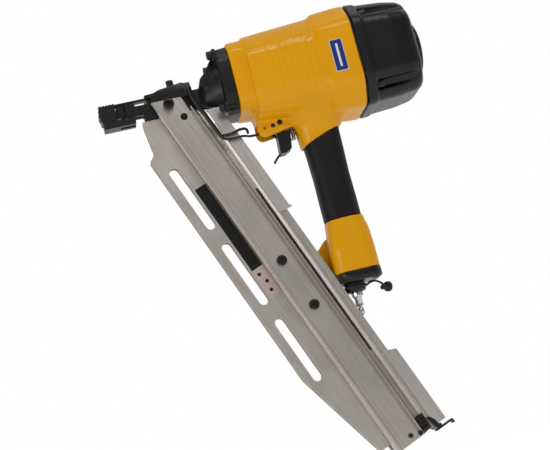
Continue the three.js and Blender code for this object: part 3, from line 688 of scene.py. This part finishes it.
# ---------------------------------------------------------------- screws
@dataclass(frozen=True)
class SocketScrew:
    """A socket cap screw with a knurl-free, eased head.

    Attributes:
        shank: Radius of the shank.
        length: Length of the shank under the head.
        head: Radius of the head.
        height: Height of the head.
    """

    shank: float
    length: float
    head: float
    height: float

    def build(self, name: str, place: Point3, lay: Lay) -> bpy.types.Object:
        """Make the screw with the underside of its head at a place.

        Args:
            name: The piece's name.
            place: a, b and height of the underside of the head.
            lay: How the screw lies.

        Returns:
            The screw.
        """
        a, b, base = place
        ease_by = self.head * 0.12
        end, top = base - self.length, base + self.height
        profile = [
            (end, self.shank * 0.8), (end + 0.5, self.shank), (base - 0.01, self.shank),
            (base, self.head - ease_by / 2), (base + ease_by / 2, self.head), (top - ease_by, self.head),
            (top - ease_by * 0.3, self.head - ease_by * 0.3), (top, self.head - ease_by),
        ]
        screw = turned(name, profile, (a, b), lay, SMALL_ROUND)
        key = self.head * 0.5
        socket = turned("socket", [(base + self.height * 0.4, key), (top + 1, key)], (a, b), lay, HEXAGON)
        return ease(carve(screw, socket), self.head * 0.03, 1, 40)


# ---------------------------------------------------------------- sub-assemblies
@dataclass
class Housing:
    """The painted casting: front block, ribbed barrel, square rear flange, grip core, foot and side lug.

    Attributes:
        front: Where the casting starts along the drive axis.
        barrel: Where the barrel's shoulder stands.
        rear: The rear flange's face.
        rib_first: Where the first rib starts.
        rib_pitch: Distance between ribs.
        rib_count: Ribs along the barrel.
        rib_height: How far a rib stands proud at the side.
        flange: Where the rear flange starts to swell from the barrel.
        barrel_rise: How much higher the barrel's top is at the flange than at its shoulder.
        sticker: Place of the round sticker along the drive axis.
    """

    front: float = 145.0
    barrel: float = 163.0
    rear: float = 278.0
    rib_first: float = 184.0
    rib_pitch: float = 6.5
    rib_count: int = 8
    rib_height: float = 0.7
    flange: float = 238.0
    barrel_rise: float = 5.5
    sticker: float = 215.0

    def barrel_station(self, x: float, proud: float = 0.0, inset: float = 0.0) -> Station:
        """The barrel's section at a place along the drive axis.

        Args:
            x: The place.
            proud: How far a rib swells it sideways.
            inset: How far it is drawn in all round.

        Returns:
            The section.
        """
        share = (x - self.barrel) / (self.flange - self.barrel)
        half = 45 + 3 * share - inset
        low, high = -45.5 - 6.5 * share + inset, 48 + self.barrel_rise * share - inset
        return x, half + proud, (high - low) / 2, 0, (high + low) / 2

    def shells(self) -> list[bpy.types.Object]:
        """Make the overlapping solid shells that the casting is fused from.

        Returns:
            The shells.
        """
        face = stack("front_block", Outline(0.42, 8), [
            (self.front, 36.2, 37, 0, 4.8), (self.front + 1.2, 37.4, 38, 0, 4.8), (166, 38.5, 39, 0, 4.4),
        ], Lay.DRIVE)
        stations = [self.barrel_station(self.barrel - 0.6, inset=2.2), self.barrel_station(self.barrel + 1.2),
                    self.barrel_station(self.rib_first - 1)]
        for i in range(self.rib_count):
            start = self.rib_first + i * self.rib_pitch
            stations += [
                self.barrel_station(start), self.barrel_station(start + 1, self.rib_height),
                self.barrel_station(start + 2.9, self.rib_height), self.barrel_station(start + 3.9),
            ]
        stations.append(self.barrel_station(250))
        barrel = stack("barrel", Outline(0.72, 14), stations, Lay.DRIVE)
        flange = stack("rear_flange", Outline(0.4, 5, chamfer=True), [
            (237.5, 46, 51, 0, 0.4), (242, 50.4, 54.6, 0, 0.4), (266, 52.7, 56.7, 0, 0),
            (self.rear - 1, 53, 57, 0, 0), (self.rear, 52.7, 56.7, 0, 0),
        ], Lay.DRIVE)
        cheeks = prism("trigger_block", [
            (156.5, -30), (160, -43), (159, -57), (163.5, -63), (181, -61), (192, -58.5), (200, -58),
            (214, -60), (222, -30),
        ], -14, 14, Lay.ACROSS, 2.4)
        fairing = stack("fairing", Outline(0.8, 10), [
            (-96, 21.5, 19.3, 224.5, 0), (-84, 22, 19.5, 224, 0), (-70, 23.5, 20.2, 224.5, 0),
            (-62, 26, 22, 226, 0), (-52, 33, 27, 229, 0), (-40, 40, 35, 231, 0),
        ], Lay.UPRIGHT)
        carve(fairing, seam_slab("below_seam", 0.3, -200))
        core = stack("grip_core", ROUND, [
            (-175, 15.4, 13.4, 225.5, 0), (-60, 15.4, 13.4, 225.5, 0),
        ], Lay.UPRIGHT)
        foot = stack("foot", Outline(0.68, 10), [
            (-225, 24.5, 21, 225.5, 0), (-200, 24.25, 20.5, 225.75, 0), (-180, 22.2, 19.6, 226.75, 0),
            (-173, 20.9, 18.8, 226.2, 0), (-167.3, 20.4, 18.3, 226, 0),
        ], Lay.UPRIGHT)
        lug = prism("side_lug", [
            (222, -176), (204, -181), (193, -192), (163, -180), (138, -186), (134, -202), (158, -262),
            (172, -266), (186, -246), (199.5, -227.5), (201, -224.9), (222, -224.9),
        ], -20.5, -15.4, Lay.ACROSS, 3)
        return [face, barrel, flange, cheeks, fairing, core, foot, lug]

    def hollows(self) -> bpy.types.Object:
        """Make the bores, pockets and holes that are machined into the fused casting.

        Returns:
            All of them in one closed shape, to cut with.
        """
        tools = [
            turned("bore", [(166, 40), (self.rear + 1, 40)], (0, 0), Lay.DRIVE),
            turned("neck", [(151.5, 30.5), (166.2, 30.5)], (0, 0), Lay.DRIVE),
            turned("mouth", [(self.front - 1, 9), (151.7, 9)], (0, 0), Lay.DRIVE),
            turned("air_passage", [(-226, 10), (-38, 10)], (225.5, 0), Lay.UPRIGHT),
            block("trigger_pocket", (150, 192), (-72, -47), (-9.3, 9.3), Lay.ACROSS),
            block("valve_pocket", (190, 198), (-72, -54), (-9.31, 9.31), Lay.ACROSS),
            turned("arch", [(-30, 5.2), (30, 5.2)], (196.4, -66), Lay.ACROSS),
            block("arch_foot", (191.2, 201.6), (-76, -66), (-30, 30), Lay.ACROSS),
            turned("valve_seat", [(-70, 6.4), (-44, 6.4)], (197, 0), Lay.UPRIGHT),
            turned("stem_hole", [(-46, 3.4), (-36.3, 3.4)], (197, 0), Lay.UPRIGHT),
        ]
        cap_screws = [(y * CAP_SCREW_OFFSET, z * CAP_SCREW_OFFSET) for y, z in CORNERS]
        holes: list[tuple[str, list[Point2], Point2, Lay]] = [
            *(("pin_hole", [(-20, radius), (20, radius)], (x, z), Lay.ACROSS)
              for x, z, radius in ((176, -53, 2.4), (184, -51, 3.0), (167, -54, 1.7))),
            *(("cap_thread", [(259, 3.3), (self.rear + 1, 3.3)], place, Lay.DRIVE)
              for place in cap_screws),
            *(("nose_thread", [(self.front - 1, 2.9), (158, 2.9)], place, Lay.DRIVE)
              for place in NOSE_SCREWS),
            *(("lug_hole", [(-27, 3.3), (-7, 3.3)], place, Lay.MAGAZINE) for place in MAGAZINE_SCREWS),
            *(("foot_thread", [(-226, 2.3), (-212, 2.3)], place, Lay.UPRIGHT) for place in FOOT_SCREWS),
        ]
        first, *rest = tools + [turned(*hole, SMALL_ROUND) for hole in holes]
        return combine(first, "UNION", rest)

    def name_plate(self) -> None:
        """The blue plate on the side of the flange: a plain field with a pale border line and a bar."""
        layers = [
            ("name_plate_border", (250, 263.6), (-20.6, 14.4), 52.5, WHITE_VINYL),
            ("name_plate", (250.6, 263), (-20, 13.8), 52.62, NAVY_VINYL),
            ("name_plate_bar", (255.6, 258), (-16, 9.8), 52.72, WHITE_VINYL),
        ]
        turn = Matrix.Rotation(math.radians(-5), 4, "Z")
        middle = at(257, -51.8, 0)
        for name, across, upward, face, finish in layers:
            layer = block(name, across, upward, (51, face), Lay.ACROSS, 1)
            layer.data.transform(Matrix.Translation(middle) @ turn @ Matrix.Translation(-middle))
            hand_over(layer, finish)

    def round_sticker(self) -> None:
        """The round silvery sticker on the top of the barrel, lying on its slope."""
        x, _, half_height, _, middle = self.barrel_station(self.sticker)
        slope = math.atan(self.barrel_rise / (self.flange - self.barrel))
        place = Matrix.Translation(at(x, 0, middle + half_height)) @ Matrix.Rotation(-slope, 4, "Y")
        place @= Matrix.Scale(MM, 4)
        disc = turned("top_sticker", [(-0.5, 10), (0.3, 10), (0.45, 9.8)], (0, 0), place)
        hand_over(disc, SILVER_VINYL)

    def build(self) -> None:
        """Fuse, machine and dress the casting, and add its labels."""
        shells = self.shells()
        casting = fuse(joined(*shells), 1.3, 5)
        casting.name = "housing_casting"
        smooth(carve(casting, self.hollows()), 42)
        hand_over(casting, YELLOW_PAINT, nodes=("housing",))
        self.name_plate()
        self.round_sticker()


@dataclass
class HeadCap:
    """The black cap over the rear of the barrel, its screws, and the exhaust deflector.

    Attributes:
        start: Where the cap starts along the drive axis.
        rib: Where its thick rim ends.
        end: Its flat end.
        bolt_offset: Distance of the screws from the axis, along Y and Z.
        channel_floor: How far a corner channel's floor lies from the axis, on the diagonal.
        channel_width: Width of a corner channel.
    """

    start: float = 279.8
    rib: float = 291.0
    end: float = 346.0
    bolt_offset: float = CAP_SCREW_OFFSET
    channel_floor: float = 51.5
    channel_width: float = 13.0

    def channel(self, side_y: int, side_z: int) -> bpy.types.Object:
        """The shape that sinks a corner channel for a screw.

        Args:
            side_y: Side of the cap that the corner is on, 1 or -1.
            side_z: 1 for an upper corner, -1 for a lower one.

        Returns:
            The shape, to cut with.
        """
        half, floor = self.channel_width / 2, self.channel_floor
        diagonal = math.sqrt(0.5)
        outline = [
            (-half, 100), (-half, floor + 5), (-half + 1.5, floor + 1.5), (-half + 5, floor),
            (half - 5, floor), (half - 1.5, floor + 1.5), (half, floor + 5), (half, 100),
        ]
        points = [((across + out) * diagonal * side_y, (out - across) * diagonal * side_z)
                  for across, out in outline]
        return prism("channel", points, self.rib + 0.3, self.end + 4, Lay.DRIVE)

    def cap(self) -> None:
        """The moulded cap."""
        cap = stack("head_cap_moulding", Outline(0.4, 5, chamfer=True), [
            (self.start, 52.7, 56.7, 0, 0), (self.start + 0.8, 53, 57, 0, 0),
            (self.rib - 1, 52.5, 56.5, 0, 0), (self.rib + 0.6, 51, 55, 0, 0), (320, 49.2, 53.2, 0, 0),
            (337, 46.4, 50.4, 0, 0), (343, 43.6, 47.6, 0, 0), (self.end, 39.5, 43.5, 0, 0),
        ], Lay.DRIVE)
        carve(cap, *(self.channel(y, z) for y, z in CORNERS))
        fuse(cap, 1.1, 4)
        carve(cap, turned("bore", [(self.start - 1, 44), (331, 44)], (0, 0), Lay.DRIVE))
        holes = [turned("hole", [(330, 3.4), (self.end + 1, 3.4)], (0, 0), Lay.DRIVE, SMALL_ROUND)]
        holes += [turned("port", [(330, 4), (self.end + 1, 4)], (y * 16, z * 10), Lay.DRIVE, SMALL_ROUND)
                  for y, z in CORNERS]
        holes += [turned("screw_hole", [(self.start - 1, 3.3), (self.rib + 3, 3.3)],
                         (y * self.bolt_offset, z * self.bolt_offset), Lay.DRIVE, SMALL_ROUND)
                  for y, z in CORNERS]
        smooth(carve(cap, *holes), 42)
        hand_over(cap, BLACK_NYLON, nodes=("head_cap",))

    def screws(self) -> None:
        """Four screws at the corners and one in the middle of the deflector."""
        screw = SocketScrew(3, 30, 5, 7.7)
        for i, (y, z) in enumerate(CORNERS, 1):
            place = (y * self.bolt_offset, z * self.bolt_offset, self.rib + 0.3)
            piece = screw.build(f"cap_screw_{i}", place, Lay.DRIVE)
            hand_over(piece, BLACK_OXIDE, nodes=(f"cap_bolt_{i}",))
        piece = SocketScrew(2.8, 14.5, 5.6, 3.6).build("deflector_centre_screw", (0, 0, 350.8), Lay.DRIVE)
        hand_over(piece, BLACK_OXIDE, nodes=("deflector_screw",))

    def deflector(self) -> None:
        """The domed disc that turns the exhaust, open at its lower side."""
        disc = turned("deflector_disc", [
            (346.4, 29), (347, 29.7), (347.8, 30), (351.2, 30), (352.4, 29.2), (353.4, 27.4), (354.2, 23.8),
            (354.8, 18), (355, 12),
        ], (0, 0), Lay.DRIVE, Outline(steps=24))
        carve(
            disc,
            turned("hole", [(345, 3.2), (356, 3.2)], (0, 0), Lay.DRIVE, SMALL_ROUND),
            turned("recess", [(350.5, 6.2), (356, 6.2)], (0, 0), Lay.DRIVE),
            block("vent", (-22, 22), (-34, -8), (345, 350.5), Lay.DRIVE, 3),
        )
        hand_over(ease(disc, 0.3, 2, 50), BLACK_NYLON, "deflector", ("exhaust_deflector",))

    def build(self) -> None:
        """Make the cap, its screws and its deflector."""
        self.cap()
        self.screws()
        self.deflector()


@dataclass
class Nose:
    """The black nose casting and its four screws.

    Attributes:
        grain: Grain of the fused casting.
    """

    grain: float = 0.85

    def build(self) -> None:
        """Make the casting and its screws."""
        casting = fuse(from_node("nose_casting", "nose_casting_body"), self.grain, 3)
        hand_over(casting, BLACK_CASTING, nodes=("nose_casting",))
        screw = SocketScrew(2.6, 27.3, 4.6, 5.3)
        for i, (y, z) in enumerate(NOSE_SCREWS, 1):
            piece = screw.build(f"nose_screw_{i}", (z, y, -128.7), Lay.NOSEWARD)
            hand_over(piece, BLACK_OXIDE, nodes=(f"nose_bolt_{i}",))


@dataclass
class SafetyContact:
    """The sprung foot at the nose, its arm, clamp screw and rod.

    Attributes:
        rod_side: Distance of the rod from the middle plane.
        rod_radius: Half the rod's thickness in the rail's channel.
        wire_radius: Half its thickness beyond the channel.
    """

    rod_side: float = 16.7
    rod_radius: float = 2.2
    wire_radius: float = 1.3

    def build(self) -> None:
        """Make the moving parts of the safety."""
        tip = fuse(from_node("contact_tip", "contact_foot"), 0.42, 2)
        hand_over(tip, BLACK_OXIDE, "contact", ("contact_tip",))
        arm = ease(from_node("contact_arm", "contact_bracket"), 0.5)
        hand_over(arm, BLACK_OXIDE, "contact", ("contact_arm",))
        screw = SocketScrew(2.5, 6.6, 4, 7.4).build("clamp_cap_screw", (81, 0, 15.6), Lay.UPRIGHT)
        hand_over(screw, BLACK_OXIDE, "contact", ("clamp_screw",))
        y, thick, thin = -self.rod_side, self.rod_radius, self.wire_radius
        run = bent_bar("safety_linkage", [
            (97, y, 6, thick), (98.6, y, -4, thick), (108.6, y, -28, thick), (117.6, y, -49.6, thick),
            (120.4, y, -55, thin + 0.3), (124, y, -57.6, thin), (130, y, -58, thin), (139.5, y, -57.8, thin),
            (144.5, -13.2, -57.5, thin), (149.5, -7, -57.2, thin), (154, -5, -57, thin),
            (162.5, -5, -57, thin),
        ])
        hook = bent_bar("linkage_hook", [
            (118, y, -53, 1.5), (131, y, -52.4, 1.5), (141, y, -50.2, 1.5), (147, y + 2, -51, 1.5),
            (148.4, y + 5.2, -55, 1.4),
        ])
        rod = smooth(joined(run, hook), 40)
        hand_over(rod, BLACK_OXIDE, "contact", ("safety_rod",))


@dataclass
class TriggerGroup:
    """The trigger and its pins; the lever inside the trigger is not made here.

    Attributes:
        reach: Half the length of a cross pin.
    """

    reach: float = 14.6

    def pin(self, name: str, place: Point2, radius: float, node: str) -> None:
        """A cross pin with domed ends.

        Args:
            name: Its name.
            place: Where its axis stands, along X and Z.
            radius: Its radius.
            node: The CAD node that it stands for.
        """
        profile = [(-self.reach, radius - 0.5), (-self.reach + 0.4, radius), (self.reach - 0.4, radius),
                   (self.reach, radius - 0.5)]
        piece = smooth(turned(name, profile, place, Lay.ACROSS, SMALL_ROUND), 40)
        hand_over(piece, BLACK_OXIDE, nodes=(node,))

    def build(self) -> None:
        """Make the trigger and its pins."""
        trigger = fuse(from_node("trigger", "trigger_moulding"), 0.42, 3)
        hand_over(trigger, BLACK_NYLON, "trigger", ("trigger",))
        self.pin("trigger_hinge_pin", (176, -53), 2.1, "trigger_pin")
        self.pin("selector_cross_pin", (184, -51), 2.7, "selector_pin")


@dataclass
class Grip:
    """The rubber sleeve, the end cap, the air plug and the dust plug.

    Attributes:
        wall: Thickness of the sleeve.
        inlet: Place of the air inlet along X.
    """

    wall: float = 4.0
    inlet: float = 219.5

    def form(self, name: str, inset: float) -> bpy.types.Object:
        """The sleeve's outer or inner form, before its upper end is cut.

        Args:
            name: The form's name.
            inset: How far it lies inside the outer one; an inner form reaches past the end.

        Returns:
            The closed form.
        """
        reach = 20.5 - inset
        sizes = [
            (-170 if inset else -167, 0, 0, 0), (-166, 0.7, 0.7, 0), (-150, 0.6, 0, 0),
            (-118, 1.0, -0.6, 0), (-90, 0, -0.4, 0), (-40, -2, 1, -1.0),
        ]
        stations = [(z, reach - slim, 18.5 - inset + wide, GRIP_CENTRE[0] + shift, 0)
                    for z, slim, wide, shift in sizes]
        first = stations[0]
        stations[0] = (first[0], first[1] - 0.8, first[2] - 0.8, first[3], 0)
        return stack(name, Outline(0.84, 14), stations, Lay.UPRIGHT)

    def sleeve(self) -> None:
        """The sleeve, cut on the slant where it meets the paint."""
        sleeve = self.form("grip_sleeve_rubber", 0)
        ease(carve(sleeve, seam_slab("above_seam", 0, 0)), 0.9, 3, 50)
        smooth(carve(sleeve, self.form("sleeve_bore", self.wall)), 35)
        hand_over(sleeve, GRIP_RUBBER, nodes=("grip_sleeve",))

    def end_cap(self) -> None:
        """The black cap at the foot of the grip, with its two screws."""
        cap = stack("foot_cap", Outline(0.62, 10), [
            (-236, 19.8, 18.6, 227.6, 0), (-235, 21.6, 20.2, 227.5, 0), (-233.4, 22.8, 21, 227.2, 0),
            (-226.2, 24.5, 21, 225.5, 0), (-225.3, 24.2, 20.7, 225.5, 0),
        ], Lay.UPRIGHT)
        tools = [turned("inlet", [(-237, 7), (-224, 7)], (self.inlet, 0), Lay.UPRIGHT)]
        for place in FOOT_SCREWS:
            tools.append(turned("hole", [(-237, 2.3), (-224, 2.3)], place, Lay.UPRIGHT, SMALL_ROUND))
            tools.append(turned("recess", [(-237, 4.4), (-231, 4.4)], place, Lay.UPRIGHT))
        carve(cap, *tools)
        hand_over(ease(cap, 0.3, 2, 50), BLACK_NYLON, nodes=("end_cap",))
        screw = SocketScrew(2, 17.3, 3.8, 3.7)
        for i, (x, y) in enumerate(FOOT_SCREWS, 1):
            piece = screw.build(f"foot_screw_{i}", (y, x, 231.3), Lay.HANGING)
            hand_over(piece, BLACK_OXIDE, nodes=(f"end_cap_screw_{i}",))

    def inlet_fittings(self) -> None:
        """The boss, the chrome plug and the dust plug on its strap."""
        centre = (self.inlet, 0)
        boss = turned("inlet_boss", [
            (-245.7, 9.6), (-245.2, 10.4), (-244.6, 10.9), (-238, 11), (-237, 11.6), (-236.3, 12.5),
        ], centre, Lay.UPRIGHT)
        carve(boss, turned("hole", [(-247, 7), (-236, 7)], centre, Lay.UPRIGHT))
        hand_over(ease(boss, 0.2, 2, 50), BLACK_NYLON, nodes=("inlet_bushing",))
        hexagon = turned("plug_hexagon", [
            (-251, 6), (-250.4, 6.6), (-246.6, 6.6), (-246, 6),
        ], centre, Lay.UPRIGHT, HEXAGON)
        ease(hexagon, 0.2, 2, 30)
        plug = turned("air_coupling_plug", [
            (-270, 2.7), (-269.6, 3.1), (-269.2, 3.4), (-265, 3.4), (-264.2, 3.0), (-263.4, 2.4),
            (-261.6, 2.4), (-261.1, 3.2), (-260.6, 4), (-252.8, 4), (-252, 4.6), (-250.8, 5), (-250.7, 5.6),
            (-227, 5.6),
        ], centre, Lay.UPRIGHT)
        joined(smooth(plug, 50), hexagon)
        carve(plug, turned("bore", [(-271, 1.8), (-226, 1.8)], centre, Lay.UPRIGHT, SMALL_ROUND))
        hand_over(plug, CHROME, nodes=("air_plug",))
        cover = fuse(from_node("dust_plug", "dust_cover"), 0.34, 4)
        hand_over(cover, RUBBER, nodes=("dust_plug",))

    def build(self) -> None:
        """Make everything on the grip."""
        self.sleeve()
        self.end_cap()
        self.inlet_fittings()


@dataclass
class Magazine:
    """The leaning magazine: rails, slotted plates, guides, pusher slide, end lever and fasteners.

    Attributes:
        groove_lines: Fine grooves in the flat of each rail, by their place across it.
        groove_depth: Their depth.
        flat: Distance of the rails' flats from the middle plane.
        label_low: Lower edge of the labels, across the magazine.
        label_high: Their upper edge.
        plate_face: Distance of the slotted plates' outer faces from the middle plane.
    """

    groove_lines: tuple[float, ...] = (60.4, 71.4, 77.4)
    groove_depth: float = 0.5
    flat: float = 15.0
    label_low: float = 37.2
    label_high: float = 50.3
    plate_face: float = 6.0

    def rails(self) -> None:
        """The two extruded rails, with their fine grooves."""
        for name, side in (("left", 1), ("right", -1)):
            rail = from_node(f"rail_{name}", f"rail_{name}_extrusion")
            outside = sorted((side * (self.flat - self.groove_depth), side * (self.flat + 1)))
            tools = [block("groove", (10, 480), (w - 0.35, w + 0.35), tuple(outside), Lay.MAGAZINE)
                     for w in self.groove_lines]
            carve(rail, *tools)
            hand_over(flatten(ease(rail, 0.28, 2, 20)), BRUSHED_RAIL, nodes=(f"rail_{name}",))

    def plates(self) -> None:
        """The slotted plates and the guide plates."""
        for name in ("slotted_plate_left", "slotted_plate_right"):
            plate = flatten(ease(from_node(name, f"{name}_sheet"), 0.35, 2, 30))
            hand_over(plate, ROLLED_SHEET, nodes=(name,))
        for name in ("guide_plate", "rear_guide_plate"):
            plate = flatten(ease(from_node(name, f"{name}_strip"), 0.3, 2, 30))
            hand_over(plate, POLISHED_STRIP, nodes=(name,))

    def slides(self) -> None:
        """The thumb slide, the end bracket and the end lever."""
        grip = ease(from_node("pusher_grip", "thumb_slide"), 0.35, 2, 30)
        hand_over(grip, BLACK_NYLON, "pusher", ("pusher_grip",))
        bracket = flatten(ease(from_node("end_bracket", "end_bracket_steel"), 0.3, 2, 30))
        hand_over(bracket, BLACK_OXIDE, nodes=("end_bracket",))
        lever = ease(from_node("release_lever", "end_lever"), 0.4, 2, 30)
        hand_over(lever, BLACK_OXIDE, "release_lever", ("release_lever",))

    def fasteners(self) -> None:
        """Bolts, the latch knob, the recessed screw and the rivets."""
        for i, (u, w) in enumerate(MAGAZINE_SCREWS, 1):
            near = SocketScrew(3, 8.7, 5.4, 3.3).build(f"magazine_screw_{i}", (u, w, 15.3), Lay.MAGAZINE)
            hand_over(near, BLACK_OXIDE, nodes=(f"magazine_bolt_{i}",))
            far = SocketScrew(3, 14.2, 5.4, 3.8).build(f"lug_screw_{i}", (w, u, 20.8), Lay.MAGAZINE_FAR)
            hand_over(far, BLACK_OXIDE, nodes=(f"lug_bolt_{i}",))
        knob = SocketScrew(2.6, 9.3, 5.7, 6.7).build("latch_knob", (32.7, 65.6, 15.3), Lay.MAGAZINE)
        hand_over(knob, BLACK_NYLON, nodes=("nose_latch_knob",))
        screw = SocketScrew(2, 4.9, 3.6, 2.6).build("recessed_screw", (52.3, 72, 10.9), Lay.MAGAZINE)
        hand_over(screw, BLACK_OXIDE, nodes=("rail_socket_screw",))
        for i, (u, w) in enumerate(((461, 72), (464.6, 82)), 1):
            rivet = turned(f"end_rivet_{i}", [
                (5, 1.6), (15.3, 1.6), (15.31, 2.6), (16.0, 2.5), (16.5, 1.9), (16.6, 1.2),
            ], (u, w), Lay.MAGAZINE, SMALL_ROUND)
            smooth(rivet, 40)
            hand_over(rivet, BLACK_OXIDE, nodes=(f"rail_rivet_{i}",))

    def stickers(self) -> None:
        """A plain black strip and a plain pale one on the left slotted plate."""
        across, back = (self.label_low, self.label_high), self.plate_face + 0.02
        film = (back, self.plate_face + 0.16)
        black = block("magazine_label_dark", (123, 228), across, film, Lay.MAGAZINE, 0.8)
        hand_over(black, BLACK_VINYL)
        pale = block("magazine_label_pale", (228.4, 262), across, film, Lay.MAGAZINE, 0.8)
        hand_over(pale, PALE_VINYL)
        ink = [(back, 2), (self.plate_face + 0.2, 2)]
        for i, (u, w) in enumerate(((235, 41.5), (245, 44.5), (255, 43)), 1):
            dot = turned(f"magazine_label_dot_{i}", ink, (u, w), Lay.MAGAZINE, SMALL_ROUND)
            hand_over(dot, BLACK_VINYL)

    def build(self) -> None:
        """Make the whole magazine."""
        self.rails()
        self.plates()
        self.slides()
        self.fasteners()
        self.stickers()


@dataclass
class Internals:
    """CAD nodes that are carried over as they are: the parts inside the casting."""

    def build(self) -> None:
        """Give each carried-over node the finish of its slot."""
        slots = {row["node"]: row["material_slot"] for row in frame["record"]["subparts"]}
        for name, node in frame["nodes"].items():
            if not node.hide_render:
                dress(node, CARRIED_FINISH[slots[name]])
                LOG.info("%s: as packed, %s", name, slots[name])


@dataclass
class Studio:
    """Pale floor, soft lights and the camera.

    Attributes:
        azimuth: Camera's angle round the tool, in degrees.
        elevation: Camera's angle above the horizon, in degrees.
        roll: Turn of the picture, in degrees.
        distance: Distance of the camera from the target.
        target: Point that the camera looks at, in the drawing's millimetres.
        lens: Focal length over a 36 mm sensor.
        floor_size: Length of the floor's sides.
        floor_drop: How far the floor lies under the tool.
        floor_glow: Light that the floor throws up at the tool.
    """

    azimuth: float = -9.0
    elevation: float = -10.0
    roll: float = 14.6
    distance: float = 1.5
    target: Point3 = (153.3, 0.0, -155.9)
    lens: float = 92.68
    floor_size: float = 30.0
    floor_drop: float = 0.15
    floor_glow: float = 0.62

    def camera(self) -> None:
        """Place the camera."""
        azimuth, elevation, roll = (math.radians(v) for v in (self.azimuth, self.elevation, self.roll))
        back = Vector((
            math.sin(azimuth) * math.cos(elevation), -math.cos(azimuth) * math.cos(elevation),
            math.sin(elevation),
        ))
        level = Vector((math.cos(azimuth), math.sin(azimuth), 0))
        upright = back.cross(level)
        right = level * math.cos(roll) - upright * math.sin(roll)
        up = level * math.sin(roll) + upright * math.cos(roll)
        data = bpy.data.cameras.new("camera")
        data.lens = self.lens
        camera = bpy.data.objects.new("camera", data)
        bpy.context.scene.collection.objects.link(camera)
        turn = Matrix((right, up, back)).transposed().to_4x4()
        camera.matrix_world = Matrix.Translation(at(*self.target) + back * self.distance) @ turn
        bpy.context.scene.camera = camera

    def floor(self) -> None:
        """A large pale floor under the tool."""
        deselect()
        height = CAD_BOX[0][2] - self.floor_drop
        bpy.ops.mesh.primitive_plane_add(size=self.floor_size, location=(0, 0, height))
        floor = bpy.context.object
        floor.name = "studio_floor"
        material = bpy.data.materials.new("matt_white_floor")
        material.use_nodes = True
        surface = material.node_tree.nodes["Principled BSDF"]
        surface.inputs["Base Color"].default_value = linear("#8C8C8C")
        surface.inputs["Roughness"].default_value = 0.9
        surface.inputs["Emission Color"].default_value = linear("#FFFFFF")
        seen = add_node(material.node_tree, "ShaderNodeLightPath").outputs["Is Camera Ray"]
        glow = add_node(material.node_tree, "ShaderNodeMapRange", None, {
            "Value": seen, "To Min": self.floor_glow, "To Max": 1.0,
        }).outputs["Result"]
        material.node_tree.links.new(glow, surface.inputs["Emission Strength"])
        floor.data.materials.append(material)

    def lamp(self, name: str, place: Point3, target: Point3, size: Point2, watts: float) -> None:
        """A rectangular soft light.

        Args:
            name: Its name.
            place: Where it stands, in metres.
            target: What it points at, in metres.
            size: Width and height, in metres.
            watts: Power.
        """
        data = bpy.data.lights.new(name, "AREA")
        data.shape = "RECTANGLE"
        data.size, data.size_y = size
        data.energy = watts
        lamp = bpy.data.objects.new(name, data)
        bpy.context.scene.collection.objects.link(lamp)
        lamp.location = place
        lamp.rotation_euler = (Vector(target) - Vector(place)).to_track_quat("-Z", "Y").to_euler()

    def world(self) -> None:
        """A white sweep behind the tool and a darker room in front of it."""
        world = bpy.data.worlds.new("studio")
        bpy.context.scene.world = world
        world.use_nodes = True
        tree = world.node_tree
        background = tree.nodes["Background"]
        direction = add_node(tree, "ShaderNodeTexCoord").outputs["Generated"]
        parts = add_node(tree, "ShaderNodeSeparateXYZ", None, {"Vector": direction}).outputs
        behind = add_node(tree, "ShaderNodeMapRange", {"interpolation_type": "SMOOTHSTEP"}, {
            "Value": parts["Y"], "From Min": -0.75, "From Max": 0.35, "To Min": 0.2, "To Max": 0.7,
        }).outputs["Result"]
        seen = add_node(tree, "ShaderNodeLightPath").outputs["Is Camera Ray"]
        strength = add_node(tree, "ShaderNodeMix", {"data_type": "FLOAT"}, {
            "Factor": seen, "A": behind, "B": 1.0,
        }).outputs["Result"]
        background.inputs["Color"].default_value = (1, 1, 1, 1)
        tree.links.new(strength, background.inputs["Strength"])

    def build(self) -> None:
        """Set up the camera, the floor, the world and the lights."""
        self.camera()
        self.floor()
        self.world()
        self.lamp("upper_strip_front", (0.21, -1.06, 0.92), (0, 0, 0), (1.0, 0.06), 2.2)
        self.lamp("upper_strip_rear", (0.21, -0.88, 1.08), (0, 0, 0), (1.0, 0.06), 2.2)
        self.lamp("overhead_softbox", (0.2, -0.2, 1.4), (0, 0, 0), (1.4, 0.5), 1)
        self.lamp("front_softbox", (0.25, -1.9, 0.5), (0, 0, 0), (1.8, 0.7), 1)
        self.lamp("left_fill", (-1.6, -1.1, 0.0), (0, 0, 0.05), (0.9, 0.9), 6)
        bpy.context.scene.view_settings.view_transform = "Standard"


def main() -> None:
    """Build every sub-assembly in order."""
    logging.basicConfig(level=logging.INFO, format="%(name)s %(message)s")
    for part in (Studio(), Housing(), HeadCap(), Nose(), SafetyContact(), TriggerGroup(), Grip(), Magazine(),
                 Internals()):
        part.build()
        LOG.info("%s done", type(part).__name__)


if __name__ == "__main__":
    main()
